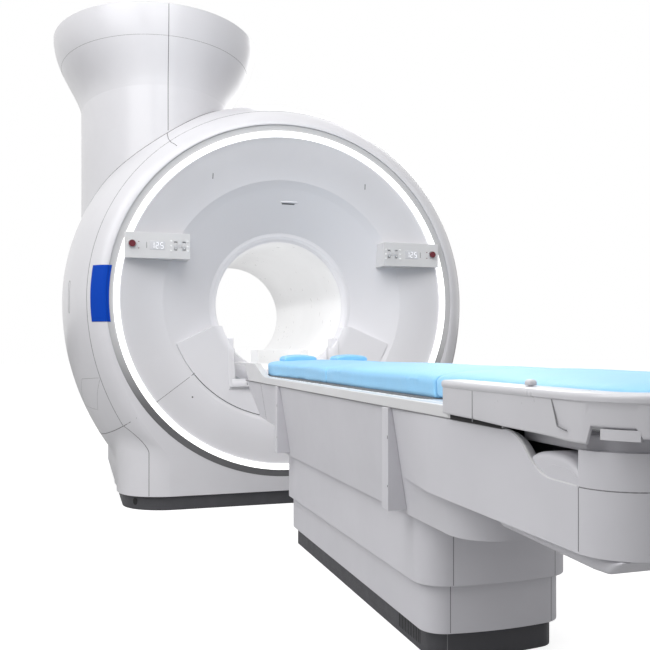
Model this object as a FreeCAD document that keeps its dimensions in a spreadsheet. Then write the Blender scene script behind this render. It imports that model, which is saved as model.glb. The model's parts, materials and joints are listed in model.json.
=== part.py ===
"""A whole-body MRI scanner with its patient table, modelled piece by piece at its real size.

Row frame, in millimetres: +Z is up, the floor is at Z = 0, +Y runs into the magnet along the patient
bore and +X is to the right of someone who faces the bore. The origin is the point of the floor under
the magnet's isocentre. The table stands at negative Y, at the height where a patient gets on.
"""

import FreeCAD, Part
import math
import os

import Sketcher

Vector = FreeCAD.Vector
document = FreeCAD.newDocument("scanner")

# ---------------------------------------------------------------------------------------------
# Driving dimensions
# ---------------------------------------------------------------------------------------------

DIMENSIONS = {
    # fits
    "seat_gap": 0.5,  # between covers and what carries them
    "running_gap": 0.4,  # between pieces that slide past each other
    # magnet, measured from the isocentre
    "front_reach": 950,  # to the plane of the light ring
    "rear_reach": 950,
    "bore_radius": 350,
    "bore_height": 1042,
    "ring_height": 1062,
    "liner_wall": 6,
    "mouth_depth": 224,  # light ring plane to the front edge of the bore
    "rear_mouth_depth": 27,
    "vessel_radius": 940,
    "vessel_bore_radius": 450,
    "vessel_reach": 740,
    "vessel_shoulder": 40,
    "vessel_wall": 20,
    "gradient_reach": 690,
    "coil_wall": 16,
    "coil_reach": 300,
    "anchor_plate_width": 1300,
    "anchor_plate_length": 1240,
    "anchor_plate_thickness": 12,
    "saddle_half_width": 620,
    "saddle_length": 170,
    "saddle_offset": 480,
    "saddle_height": 300,
    # light ring and dish
    "ring_outer_radius": 884,
    "ring_inner_radius": 855,
    "ring_thickness": 12,
    "bezel_outer_radius": 918,
    "bezel_setback": 6,
    "bezel_thickness": 18,
    "ring_overlap": 6,
    "cover_wall": 8,
    "dish_edge_depth": 12,
    "dish_knee_radius": 640,
    "dish_knee_depth": 66,
    "funnel_radius": 600,
    "funnel_depth": 88,
    "throat_radius": 392,
    "throat_depth": 196,
    "lower_zone_radius": 615,
    "apron_depth": 74,  # front of the docking cover at its outer edge
    "apron_throat_depth": 132,  # and beside the bore
    "ledge_outer_x": 560,
    "ledge_outer_height": 842,
    "ledge_inner_x": 372,
    "ledge_inner_height": 930,
    "bay_half_width": 300,
    "bay_floor_height": 612,
    "seam_angle": 37.5,  # of the radial seams, below horizontal
    # casing
    "casing_wall": 10,
    "casing_radius": 1128,
    "casing_front_radius": 925,
    "casing_rear_radius": 1010,
    "casing_front_bulge": 650,  # depth over which the front swells to the full radius
    "casing_rear_bulge": 240,
    "flank_share": 1.25,  # radius of the lower flanks over the radius of the top
    "waist_radius": 150,
    "base_half_width": 850,
    "base_corner_radius": 240,
    "base_front_inset": 4,
    "band_depth": 80,
    "front_seam_x": 712,
    "rear_seam_reach": 700,
    "rear_opening_radius": 760,
    "skirt_height": 70,
    "skirt_wall": 12,
    "skirt_inset": 22,
    "skirt_flange_reach": 17,  # of the flange that the covers stand on, past the skirt
    "skirt_flange_inset": 4,
    "skirt_flange_thickness": 5,
    # chimney over the service turret
    "chimney_x": -600,
    "chimney_half_width": 425,
    "chimney_half_depth": 735,
    "chimney_wall": 8,
    "chimney_root_height": 1400,
    "flare_start_height": 2190,
    "chimney_height": 2606,
    "flare_growth": 153,
    "flare_growth_depth": 41,
    "chimney_lid_drop": 14,
    "turret_radius": 170,
    "turret_y": 150,
    "turret_height": 2060,
    "cold_head_y": -260,
    "cold_head_radius": 95,
    "cold_head_height": 2240,
    "quench_radius": 84,
    "quench_wall": 4,
    "quench_stub": 8,
    # control panels
    "panel_inner_x": 515,
    "panel_outer_x": 832,
    "panel_low_height": 1258,
    "panel_high_height": 1385,
    "panel_reach": 22,  # in front of the light ring
    "stop_x": 796,
    "stop_height": 1327,
    "stop_head_radius": 16,
    "stop_stem_radius": 8,
    "stop_travel": 5,
    "stop_head_thickness": 9,
    "key_x": 566,
    "key_height": 1322,
    "key_pitch_x": 21,
    "key_width": 16,
    "key_tall": 46,
    "key_travel": 1.5,
    "key_proud": 2.5,
    "key_depth": 9,
    "oval_key_radius": 9,
    "name_plate_low_height": 940,
    "name_plate_high_height": 1222,
    "name_plate_thickness": 2,
    "connector_inner_x": 268,
    "connector_width": 28,
    "connector_low_height": 770,
    "connector_high_height": 868,
    "connector_length": 96,
    "bridge_inner_x": 120,
    "bridge_outer_x": 160,
    "bridge_top_height": 803.5,
    # table, distances ahead of the light ring plane
    "duct_inner_x": 36,
    "duct_outer_x": 150,
    "duct_height": 12,
    "pedestal_gap": 900,
    "pedestal_length": 1464,
    "pedestal_half_width": 183.5,
    "pedestal_front_radius": 14,
    "pedestal_end_radius": 50,
    "pedestal_end_bow": 824,  # radius of the foot end's bowed face in plan
    "pedestal_height": 70,
    "pedestal_upstand": 150,
    "tier_step": 19,
    "tier_front_step": 5,
    "tier_wall": 4,
    "tier_lip": 6,
    "tier_a_bottom": 71,
    "tier_a_top": 262,
    "tier_b_bottom": 199.5,
    "tier_b_top": 452,
    "body_bottom": 379,
    "body_foot": 2690,
    "body_foot_radius": 110,
    "body_wall": 5,
    "body_half_width": 285,
    "rail_height": 660,  # bottom of the top rails
    "table_end": 3305,
    "body_nose": 300,
    "body_bulge": 5,
    "gantry_seam": 640,
    "overhang_start": 514,
    "overhang_low": 499,
    "overhang_root": 880,
    "belly_height": 480,
    "end_corner_radius": 100,
    "dip_start": 2960,
    "dip_run": 165,
    "dip_height": 589,
    "dip_deck_drop": 14,
    "dip_hump_top": 614,
    "dip_hump_length": 180,
    "foot_cover_top": 650,
    "end_channel_margin": 25,
    "foot_seam": 3213,
    "rail_width": 30,
    "rail_depth": 29,
    "nose_rise": 84,  # top of the nose above the bottom of the rail
    "nose_reach": 12,
    "nose_top_length": 90,
    "nose_slope_end": 470,
    "rail_end": 2950,
    "deck_height": 596,
    "deck_thickness": 8,
    "deck_half_width": 269,
    "frame_half_width": 120,
    "frame_height": 550,
    "frame_start": 620,
    "frame_end": 2950,
    "column_y_front": 1300,
    "column_y_rear": 2050,
    "column_radius": 80,
    "column_mid_radius": 70,
    "column_inner_radius": 60,
    "column_wall": 9,
    "column_top": 300,
    "column_mid_bottom": 137,
    "column_mid_top": 417,
    "column_inner_bottom": 259,
    "base_plate_thickness": 14,
    "guide_inner_x": 150,
    "guide_width": 30,
    "guide_height": 26,
    "carriage_half_width": 200,
    "carriage_thickness": 24,
    "carriage_start": 520,
    "carriage_length": 1900,
    "slider_half_width": 110,
    "tabletop_half_width": 262,
    "tabletop_flat_half_width": 205,
    "tabletop_bottom": 664,
    "tabletop_edge": 682,
    "tabletop_top": 690,
    "tabletop_start": 470,
    "tabletop_end": 3250,
    "mattress_half_width": 240,
    "mattress_top": 754,
    "mattress_tip": 26,  # by which the outer ends are narrower on each side
    "cushion_crown": 6,
    "cushion_edge_radius": 14,
    "cushion_draw": 3,
    "cushion_end_dip": 4,
    "cushion_turn": 60,
    "mattress_seam_head": 1512,
    "mattress_seam_foot": 2485,
    "mattress_end": 3290,
    "pad_length": 120,
    "pad_width": 150,
    "pad_height": 26,
    "pad_x": 118,
    "pad_y": 590,
    "tub_start": 2692,
    "tub_flare_end": 2830,
    "tub_half_width": 310,
    "tub_wall": 7,
    "tub_floor_thickness": 6,
    "tub_bottom": 664,
    "tub_top": 742,
    "tub_end": 3384,
    "tub_corner_radius": 170,
    "bracket_inner_x": 212,
    "bracket_outer_x": 254,
    "bracket_bottom": 622,
    "bracket_start": 2960,
    "bracket_end": 3190,
    "knob_y": 3040,
    "knob_radius": 11,
    "knob_height": 16,
    "tray_start": 2860,
    "tray_low": 450,
    "tray_half_width": 262,
    "fin_front": 971,
    "fin_rear": 2274,
    "fin_length": 47,
    "fin_outer_x": 296,
    "fin_inner_x": 236,
    "fin_bottom": 392,
}


class Size:
    """A length in millimetres that also knows its formula in the sheet's own names."""

    def __init__(self, value, text):
        self.value = float(value)
        self.text = text

    def __add__(self, other):
        other = as_size(other)
        return Size(self.value + other.value, f"({self.text} + {other.text})")

    def __sub__(self, other):
        other = as_size(other)
        return Size(self.value - other.value, f"({self.text} - {other.text})")

    def __mul__(self, other):
        other = as_size(other)
        return Size(self.value * other.value, f"({self.text} * {other.text})")

    def __truediv__(self, other):
        other = as_size(other)
        return Size(self.value / other.value, f"({self.text} / {other.text})")

    def __neg__(self):
        return Size(-self.value, f"(0 - {self.text})")

    def __radd__(self, other):
        return as_size(other) + self

    def __rsub__(self, other):
        return as_size(other) - self

    __rmul__ = __mul__

    def root(self):
        return Size(math.sqrt(self.value), f"sqrt({self.text})")


def as_size(value):
    """A plain number as a Size, and a Size as it is."""
    return value if isinstance(value, Size) else Size(value, f"({value:.6g})")


class Sheet:
    """The spreadsheet of driving dimensions; each is an attribute of its name."""

    def __init__(self, dimensions):
        self.sheet = document.addObject("Spreadsheet::Sheet", "Sizes")
        for row, (name, value) in enumerate(dimensions.items(), 1):
            self.sheet.set(f"A{row}", name)
            self.sheet.set(f"B{row}", str(value))
            self.sheet.setAlias(f"B{row}", name)
        document.recompute()
        for name in dimensions:
            setattr(self, name, Size(self.sheet.get(name), f"Sizes.{name}"))


size = Sheet(DIMENSIONS)
kept = []  # the objects that are sub-parts, in order


def keep(thing):
    """Marks an object as a sub-part that is written out."""
    kept.append(thing)
    return thing


def bind(thing, **formulas):
    """Binds properties of an object to sizes; an underscore pair in a name stands for a point."""
    for name, value in formulas.items():
        thing.setExpression(name.replace("__", "."), as_size(value).text)


def place(thing, x=0, y=0, z=0):
    """Binds an object's position."""
    bind(thing, Placement__Base__x=x, Placement__Base__y=y, Placement__Base__z=z)
    return thing


# ---------------------------------------------------------------------------------------------
# Ways of making pieces
# ---------------------------------------------------------------------------------------------


def box(label, x, y, z):
    """A box between pairs of bounds, each pair in rising order."""
    thing = document.addObject("Part::Box", label)
    bind(thing, Length=x[1] - x[0], Width=y[1] - y[0], Height=z[1] - z[0])
    return place(thing, x[0], y[0], z[0])


AXIS_TURNS = {
    "x": FreeCAD.Rotation(Vector(0, 1, 0), 90),
    "y": FreeCAD.Rotation(Vector(1, 0, 0), -90),
    "z": FreeCAD.Rotation(),
}


def rod(label, axis, start, length, radius):
    """A cylinder that starts at a point and runs along +X, +Y or +Z."""
    thing = document.addObject("Part::Cylinder", label)
    bind(thing, Radius=radius, Height=length)
    thing.Placement = FreeCAD.Placement(Vector(), AXIS_TURNS[axis])
    return place(thing, *start)


def cut(label, base, tool):
    thing = document.addObject("Part::Cut", label)
    thing.Base, thing.Tool = base, tool
    return thing


def common(label, first, second):
    thing = document.addObject("Part::Common", label)
    thing.Base, thing.Tool = first, second
    return thing


def joined(label, things):
    thing = document.addObject("Part::MultiFuse", label)
    thing.Shapes = things
    return thing


def group(label, things):
    """Separate solids that share one name."""
    thing = document.addObject("Part::Compound", label)
    thing.Links = things
    return thing


def shaped(label, shape):
    """A piece whose shape is worked out below from the sheet's values."""
    thing = document.addObject("Part::Feature", label)
    thing.Shape = shape
    return thing


def arc(radius, turn):
    """Marks the edge that leaves a point of an outline as an arc; turn is 1 to the left, -1 right."""
    return (radius, turn)


def draw(sketch, outline):
    """Adds a closed outline of points (x, y) or (x, y, arc) to a sketch, each bound to the sheet."""
    first = sketch.GeometryCount
    count = len(outline)
    starts = []
    for index, point in enumerate(outline):
        following = outline[(index + 1) % count]
        p = Vector(as_size(point[0]).value, as_size(point[1]).value, 0)
        q = Vector(as_size(following[0]).value, as_size(following[1]).value, 0)
        if len(point) == 2:
            sketch.addGeometry(Part.LineSegment(p, q), False)
            starts.append((1, 2))
            continue
        radius, turn = as_size(point[2][0]), point[2][1]
        half = (q - p) * 0.5
        rise = math.sqrt(max(radius.value**2 - half.Length**2, 0))
        aside = Vector(-half.y, half.x, 0).normalize() * rise * turn
        centre = p + half + aside
        angles = [math.atan2(v.y - centre.y, v.x - centre.x) for v in (p, q)]
        if turn < 0:
            angles.reverse()
        circle = Part.Circle(centre, Vector(0, 0, 1), radius.value)
        sketch.addGeometry(Part.ArcOfCircle(circle, *angles), False)
        starts.append((1, 2) if turn > 0 else (2, 1))
        number = sketch.addConstraint(Sketcher.Constraint("Radius", first + index, radius.value))
        sketch.setExpression(f"Constraints[{number}]", radius.text)
    for index, point in enumerate(outline):
        here, there = first + index, first + (index + 1) % count
        sketch.addConstraint(
            Sketcher.Constraint("Coincident", here, starts[index][1], there, starts[(index + 1) % count][0])
        )
        for kind, value in (("DistanceX", point[0]), ("DistanceY", point[1])):
            value = as_size(value)
            number = sketch.addConstraint(
                Sketcher.Constraint(kind, -1, 1, here, starts[index][0], value.value)
            )
            sketch.setExpression(f"Constraints[{number}]", value.text)


def sketched(body, role, outlines):
    """A sketch on one of a body's own planes."""
    sketch = body.newObject("Sketcher::SketchObject", body.Name + "_sketch")
    plane = next(o for o in body.Origin.OriginFeatures if o.Role == role)
    sketch.AttachmentSupport = (plane, [""])
    sketch.MapMode = "FlatFace"
    for outline in outlines:
        draw(sketch, outline)
    return sketch


def pad(label, role, outlines, low, high):
    """A body with outlines on a plane, padded from low to high along that plane's axis."""
    body = document.addObject("PartDesign::Body", label)
    sketch = sketched(body, role, outlines)
    feature = body.newObject("PartDesign::Pad", label + "_pad")
    feature.Profile = sketch
    feature.SideType = "Symmetric"
    low, high = as_size(low), as_size(high)
    bind(feature, Length=high - low)
    middle = (low + high) / 2
    offset = {"XY_Plane": "z", "XZ_Plane": "y", "YZ_Plane": "x"}[role]
    bind(body, **{"Placement__Base__" + offset: middle})
    return body


def turned(label, outline, height):
    """A body turned about a line along Y at a height; the outline's points are (y, radius)."""
    body = document.addObject("PartDesign::Body", label)
    sketch = sketched(body, "YZ_Plane", [outline])
    feature = body.newObject("PartDesign::Revolution", label + "_turn")
    feature.Profile = sketch
    feature.ReferenceAxis = (sketch, ["H_Axis"])
    feature.Angle = 360
    bind(body, Placement__Base__z=height)
    return body


def tube(label, y, radii, height):
    """A tube along Y between two ends, with inner and outer radius."""
    corners = [(y[0], radii[0]), (y[1], radii[0]), (y[1], radii[1]), (y[0], radii[1])]
    return turned(label, corners, height)


def rounded(x, y, radius):
    """The outline of a rectangle with round corners."""
    (x0, x1), (y0, y1) = x, y
    corner = arc(radius, 1)
    return [
        (x0 + radius, y0),
        (x1 - radius, y0, corner),
        (x1, y0 + radius),
        (x1, y1 - radius, corner),
        (x1 - radius, y1),
        (x0 + radius, y1, corner),
        (x0, y1 - radius),
        (x0, y0 + radius, corner),
    ]


def ahead(distance):
    """The Y of a plane that far in front of the light ring, towards the table."""
    return -(size.front_reach + distance)


def behind(depth):
    """The Y of a plane that deep behind the light ring's plane."""
    return as_size(depth) - size.front_reach


def span(*values):
    """Two bounds in rising order."""
    return sorted(values, key=lambda v: as_size(v).value)


def mirrored(x, side):
    """A pair of X bounds on the right (side 1) or left (side -1)."""
    return (as_size(x[0]), as_size(x[1])) if side > 0 else (-as_size(x[1]), -as_size(x[0]))


SIDES = (("left", -1), ("right", 1))
FRONT_SWELL, REAR_SWELL = 0.62, 0.5  # powers that shape the casing's round shoulders
FAR = 6000.0  # beyond every piece, for cutting tools


def block(x=(-FAR, FAR), y=(-FAR, FAR), z=(-FAR, FAR)):
    """A box shape for cutting, in plain numbers."""
    bounds = [[as_size(v).value for v in span(*pair)] for pair in (x, y, z)]
    lengths = [high - low for low, high in bounds]
    return Part.makeBox(*lengths, Vector(*[low for low, _ in bounds]))


# ---------------------------------------------------------------------------------------------
# Casing: a drum that stands on a broad base, lofted through sections along Y
# ---------------------------------------------------------------------------------------------


def casing_half_width(depth, length):
    """Half width of the base at a depth: a quarter circle in plan at each corner."""
    corner = size.base_corner_radius.value
    from_end = min(depth - size.base_front_inset.value, length - depth)
    into = min(max(from_end, 0.0), corner)
    return size.base_half_width.value - corner + math.sqrt(corner**2 - (corner - into) ** 2)


def casing_radius(depth, length):
    """Radius of the drum at a depth: it swells from each end to the full radius."""
    full = size.casing_radius.value
    front = min(depth / size.casing_front_bulge.value, 1.0)
    rear = min((length - depth) / size.casing_rear_bulge.value, 1.0)
    front_radius = size.casing_front_radius.value
    rear_radius = size.casing_rear_radius.value
    return min(
        front_radius + (full - front_radius) * (1 - (1 - front) ** 2) ** FRONT_SWELL,
        rear_radius + (full - rear_radius) * (1 - (1 - rear) ** 2) ** REAR_SWELL,
    )


def casing_section(depth, length, inset, low):
    """The closed outline of the casing at a depth, moved inwards by inset."""
    radius = casing_radius(depth, length)
    half = casing_half_width(depth, length)
    waist = size.waist_radius.value
    flank = size.flank_share.value * radius
    shift = flank - radius  # each flank's centre lies this far beyond the middle
    height = size.ring_height.value
    reach = flank + waist
    waist_height = height - math.sqrt(reach**2 - (half + waist + shift) ** 2)
    y = depth - size.front_reach.value
    flank_point = Vector(half + waist + shift, 0, height - waist_height)
    flank_point = flank_point * ((flank - inset) / reach)
    middle_angle = 0.5 * math.atan2(flank_point.z, flank_point.x)

    def mirror(point, side):
        return Vector(side * point[0], y, point[1])

    top = (0, height + radius - inset)
    diagonal = (radius - inset) * math.sqrt(0.5)
    shoulder = (diagonal, height + diagonal)
    hip = (radius - inset, height)
    flank_middle = (
        (flank - inset) * math.cos(middle_angle) - shift,
        height - (flank - inset) * math.sin(middle_angle),
    )
    flank_end = (flank_point.x - shift, height - flank_point.z)
    turn = math.atan2(flank_point.z, flank_point.x) / 2
    pocket = waist + inset
    waist_middle = (
        half + waist - pocket * math.cos(turn),
        waist_height + pocket * math.sin(turn),
    )
    waist_end = (half - inset, waist_height)
    foot = (half - inset, low)
    edges = []
    for side in (1, -1):
        points = [mirror(p, side) for p in (top, shoulder, hip, flank_middle, flank_end, waist_middle, waist_end)]
        drawn = [Part.Arc(*points[i : i + 3]).toShape() for i in (0, 2, 4)]
        drawn.append(Part.makeLine(points[6], mirror(foot, side)))
        edges.append(drawn)
    floor = Part.makeLine(mirror(foot, 1), mirror(foot, -1))
    return Part.Wire(edges[0] + [floor] + edges[1][::-1])


def casing_solid(inset, low):
    """The casing moved inwards by inset: a lofted front, a straight middle and a lofted rear."""
    length = size.front_reach.value + size.rear_reach.value
    front = size.casing_front_bulge.value
    rear = max(size.casing_rear_bulge.value, size.base_corner_radius.value)
    inside = max(inset, 0.0)

    def sections(depths):
        held = [min(max(depth, inside), length - inside) for depth in depths]
        return [casing_section(depth, length, inset, low) for depth in held]

    fore = sections([share * front for share in (0.0, 0.035, 0.12, 0.3, 0.62, 1.0)])
    aft = sections([length - share * rear for share in (1.0, 0.55, 0.2, 0.0)])
    middle = Part.Face(fore[-1]).extrude(Vector(0, length - front - rear, 0))
    ends = [Part.makeLoft(fore, True, False), Part.makeLoft(aft, True, False)]
    return middle.fuse(ends)


def lower_sector(angle):
    """All that lies below two planes that fall away from the ring's axis at an angle."""
    height = size.ring_height.value
    run, fall = FAR * math.cos(angle), FAR * math.sin(angle)
    corners = [(0, height), (run, height - fall), (run, -FAR), (-run, -FAR), (-run, height - fall)]
    points = [Vector(x, -FAR, z) for x, z in corners]
    face = Part.Face(Part.makePolygon(points + points[:1]))
    return face.extrude(Vector(0, 2 * FAR, 0))


def make_casing():
    """The covers round the magnet: front band, sides, base covers and rear."""
    foot = size.skirt_height.value + size.seat_gap.value
    wall = size.casing_wall.value
    outer = casing_solid(0.0, foot)
    shell = outer.cut(casing_solid(wall, foot - wall))
    ring_axis = Vector(0, -FAR, size.ring_height.value)
    gap = size.seat_gap.value
    front_hole = Part.makeCylinder(
        size.bezel_outer_radius.value + gap, FAR, ring_axis, Vector(0, 1, 0)
    )
    rear_axis = Vector(0, 0, size.bore_height.value)
    rear_hole = Part.makeCylinder(
        size.rear_opening_radius.value + gap, FAR, rear_axis, Vector(0, 1, 0)
    )
    turret_face = Part.Face(chimney_plan(size.bore_height.value, 0.0, 8 * size.chimney_wall.value))
    turret_hole = turret_face.extrude(Vector(0, 0, FAR))
    shell = shell.cut([front_hole, rear_hole, turret_hole])
    low = lower_sector(math.radians(size.seam_angle.value))
    seam = behind(size.band_depth)
    front = block(y=(-FAR, seam))
    side_span = block(y=(seam, size.rear_seam_reach))
    middle = block(x=(-size.front_seam_x, size.front_seam_x))
    split = size.chimney_x
    upper = shell.cut(low)
    lower = shell.common(low)
    keep(shaped("front_band", upper.common(front)))
    keep(shaped("base_front_cover", lower.common(front).common(middle)))
    keep(shaped("side_cover_left", upper.common(side_span).common(block(x=(-FAR, split)))))
    keep(shaped("side_cover_right", upper.common(side_span).common(block(x=(split, FAR)))))
    base_sides = lower.common(block(y=(-FAR, size.rear_seam_reach))).cut(front.common(middle))
    keep(shaped("base_cover_left", base_sides.common(block(x=(-FAR, 0)))))
    keep(shaped("base_cover_right", base_sides.common(block(x=(0, FAR)))))
    rear = shell.common(block(y=(size.rear_seam_reach, FAR)))
    keep(shaped("rear_cover", Part.Compound([rear, rear_dish()])))
    plate_room = block(
        x=(-FAR, 0),
        y=(behind(size.band_depth * 0.14), behind(size.band_depth - size.seat_gap)),
        z=(size.name_plate_low_height, size.name_plate_high_height),
    )
    plate = casing_solid(-size.name_plate_thickness.value, foot).common(plate_room)
    keep(shaped("name_plate", plate.cut(casing_solid(0.0, foot))))


# ---------------------------------------------------------------------------------------------
# Chimney: a flared elliptic cover over the service turret
# ---------------------------------------------------------------------------------------------


def chimney_plan(height, grown, inset):
    """The chimney's outline at a height as four elliptic arcs; grown runs from neck to rim."""
    wide = size.chimney_half_width.value + grown * size.flare_growth.value - inset
    deep = size.chimney_half_depth.value + grown * size.flare_growth_depth.value - inset
    centre = Vector(size.chimney_x.value, 0, height)
    ellipse = Part.Ellipse(centre + Vector(0, deep, 0), centre + Vector(wide, 0, 0), centre)
    quarter = math.pi / 2
    arcs = [Part.ArcOfEllipse(ellipse, turn * quarter, (turn + 1) * quarter) for turn in range(4)]
    return Part.Wire([piece.toShape() for piece in arcs])


def chimney_rings(inset):
    """The outlines of the flared part, from the neck up to the rim."""
    start, end = size.flare_start_height.value, size.chimney_height.value
    rings = []
    for share in (0.0, 0.25, 0.5, 0.75, 1.0):
        grown = 0.5 - 0.5 * math.cos(math.pi * share**0.85)
        rings.append(chimney_plan(start + (end - start) * share, grown, inset))
    return rings


def between(outer, inner):
    """The flat face between two closed outlines."""
    return Part.Face(outer).cut(Part.Face(inner)).Faces[0]


def make_chimney():
    """Two half covers that meet on the seam above the turret, and a lid."""
    wall, gap = size.chimney_wall.value, size.seat_gap.value
    outer, inner = chimney_rings(0.0), chimney_rings(wall)
    faces = Part.makeLoft(outer, False, False).Faces + Part.makeLoft(inner, False, False).Faces
    faces += [between(outer[0], inner[0]), between(outer[-1], inner[-1])]
    flare = Part.makeSolid(Part.makeShell(faces))
    root = size.chimney_root_height.value - size.flare_start_height.value
    neck = between(outer[0], inner[0]).extrude(Vector(0, 0, root))
    neck = neck.cut(casing_solid(-gap, size.skirt_height.value))
    whole = neck.fuse(flare)
    for name, side in SIDES:
        room = block(x=(size.chimney_x, side * FAR))
        keep(shaped(f"chimney_cover_{name}", whole.common(room)))
    lid_bottom = size.chimney_height.value - size.chimney_lid_drop.value - wall
    lid = Part.Face(chimney_plan(lid_bottom, 0.97, wall + gap)).extrude(Vector(0, 0, wall))
    axis = Vector(size.chimney_x.value, size.turret_y.value, 0)
    hole = Part.makeCylinder(size.quench_radius.value + gap, FAR, axis)
    keep(shaped("chimney_lid", lid.cut(hole)))


# ---------------------------------------------------------------------------------------------
# Magnet
# ---------------------------------------------------------------------------------------------


def make_magnet():
    """Vessel, coils, liner, supports and the service turret."""
    reach, shoulder = size.vessel_reach, size.vessel_shoulder
    inner, outer = size.vessel_bore_radius, size.vessel_radius
    outline = [
        (-reach, inner),
        (reach, inner),
        (reach, outer - shoulder),
        (reach - shoulder, outer),
        (shoulder - reach, outer),
        (-reach, outer - shoulder),
    ]
    solid = turned("vessel_drum", outline, size.bore_height)
    wall = size.vessel_wall
    room = [
        (wall - reach, inner + wall),
        (reach - wall, inner + wall),
        (reach - wall, outer - shoulder),
        (reach - shoulder, outer - wall),
        (shoulder - reach, outer - wall),
        (wall - reach, outer - shoulder),
    ]
    vessel = cut("vessel_shell", solid, turned("vessel_room", room, size.bore_height))
    posts = []
    for name, y, radius, top in (
        ("service_turret", size.turret_y, size.turret_radius, size.turret_height),
        ("cold_head", size.cold_head_y, size.cold_head_radius, size.cold_head_height),
    ):
        start = (size.chimney_x, y, size.bore_height + size.vessel_bore_radius + shoulder)
        posts.append(rod(name, "z", start, top - start[2], radius))
    keep(joined("magnet_vessel", [vessel] + posts))
    liner = (size.bore_radius, size.bore_radius + size.liner_wall)
    front = behind(size.mouth_depth) + size.cover_wall + size.seat_gap
    rear = size.rear_reach - size.rear_mouth_depth
    keep(tube("bore_liner", (front, rear), liner, size.bore_height))
    coil = (liner[1] + size.seat_gap, liner[1] + size.seat_gap + size.coil_wall)
    keep(tube("body_coil", (-size.coil_reach, size.coil_reach), coil, size.bore_height))
    gradient = (coil[1] + size.seat_gap, inner - size.seat_gap)
    ends = (-size.gradient_reach, size.gradient_reach)
    keep(tube("gradient_coil", ends, gradient, size.bore_height))
    plate = (size.anchor_plate_width / 2, size.anchor_plate_length / 2)
    pieces = [
        box(
            "anchor_plate",
            (-plate[0], plate[0]),
            (-plate[1], plate[1]),
            (as_size(0), size.anchor_plate_thickness),
        )
    ]
    for name, side in (("front", -1), ("rear", 1)):
        middle = size.saddle_offset * side
        pieces.append(
            box(
                f"saddle_{name}",
                (-size.saddle_half_width, size.saddle_half_width),
                (middle - size.saddle_length / 2, middle + size.saddle_length / 2),
                (size.anchor_plate_thickness / 2, size.saddle_height),
            )
        )
    clear = rod(
        "saddle_clearance",
        "y",
        (as_size(0), -reach, size.bore_height),
        reach * 2,
        outer + size.seat_gap,
    )
    keep(cut("magnet_cradle", joined("cradle_blocks", pieces), clear))
    pipe_top = size.chimney_height + size.quench_stub
    foot = (size.chimney_x, size.turret_y, size.turret_height)
    length = pipe_top - size.turret_height
    pipe = rod("quench_pipe_outside", "z", foot, length, size.quench_radius)
    hollow_radius = size.quench_radius - size.quench_wall
    hollow = rod("quench_pipe_inside", "z", foot, length, hollow_radius)
    keep(cut("quench_pipe", pipe, hollow))


def ring_at(depth, radius):
    """A circle of the dish: its centre sinks from the ring's axis to the bore's towards the mouth."""
    outer, mouth = size.funnel_radius.value, size.bore_radius.value
    share = min(max((outer - radius) / (outer - mouth), 0.0), 1.0)
    height = size.ring_height.value + (size.bore_height.value - size.ring_height.value) * share
    centre = Vector(0, behind(depth).value, height)
    return Part.Wire(Part.makeCircle(radius, centre, Vector(0, 1, 0)))


def band(first, second):
    """The faces between two circles, flat where both lie in one plane."""
    if abs(first.BoundBox.YMin - second.BoundBox.YMin) > 1e-6:
        return Part.makeLoft([first, second], False, True).Faces
    wide, narrow = (first, second) if first.Length > second.Length else (second, first)
    return [between(wide, narrow)]


def dish_shell(front, back):
    """A thin dish between two rows of circles, each row running from the rim to the mouth."""
    rows = [[ring_at(*point) for point in row] for row in (front, back)]
    loop = rows[0] + rows[1][::-1]
    faces = []
    for first, second in zip(loop, loop[1:] + loop[:1]):
        faces += band(first, second)
    return Part.makeSolid(Part.makeShell(faces))


def throat(setback):
    """Points of the funnel's rounded end, from the throat to the mouth."""
    depth, radius = size.throat_depth.value, size.throat_radius.value
    run, fall = size.mouth_depth.value - depth, radius - size.bore_radius.value - setback
    points = []
    for step in range(5):
        angle = math.pi / 2 * step / 4
        points.append((depth + run * (1 - math.cos(angle)), radius - fall * math.sin(angle)))
    return points


def make_front():
    """Light ring, bezel, dish, lower panel and docking cover, with the bay for the tabletop."""
    wall, gap = size.cover_wall.value, size.seat_gap
    ring = (size.ring_inner_radius, size.ring_outer_radius)
    keep(tube("light_ring", (behind(0), behind(size.ring_thickness)), ring, size.ring_height))
    bezel = (size.ring_outer_radius + gap, size.bezel_outer_radius)
    setback = (behind(size.bezel_setback), behind(size.bezel_setback + size.bezel_thickness))
    keep(tube("ring_bezel", setback, bezel, size.ring_height))
    flange = (size.ring_thickness + gap).value
    rim = (size.ring_inner_radius - size.ring_overlap).value
    front = [
        (flange, (size.ring_outer_radius - gap).value),
        (flange, rim),
        (size.dish_knee_depth.value, size.dish_knee_radius.value),
        (size.funnel_depth.value, size.funnel_radius.value),
    ] + throat(0.5)
    back = [(depth + wall, radius) for depth, radius in front]
    whole = dish_shell(front, back)
    low = lower_sector(math.radians(size.seam_angle.value))
    ring_axis = Vector(0, -FAR, size.ring_height.value)
    zone_radius = size.lower_zone_radius.value
    zone = Part.makeCylinder(zone_radius, 2 * FAR, ring_axis, Vector(0, 1, 0))
    apron_room = apron_region()
    keep(shaped("lower_ring_panel", whole.common(low).cut(zone)))
    keep(shaped("front_cover", whole.cut(low.cut(zone)).cut(apron_room)))
    zone_edge = zone_radius - gap.value
    mouth = size.bore_radius.value + 0.5
    face = [(size.apron_depth.value, zone_edge), (size.apron_throat_depth.value, mouth)]
    behind_face = [(size.funnel_depth.value + wall, zone_edge)]
    behind_face += [(depth + wall, radius) for depth, radius in throat(0.5)]
    apron = dish_shell(face, behind_face)
    docking = apron.common(apron_room).cut(bay_room())
    keep(shaped("docking_cover", docking))


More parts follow.
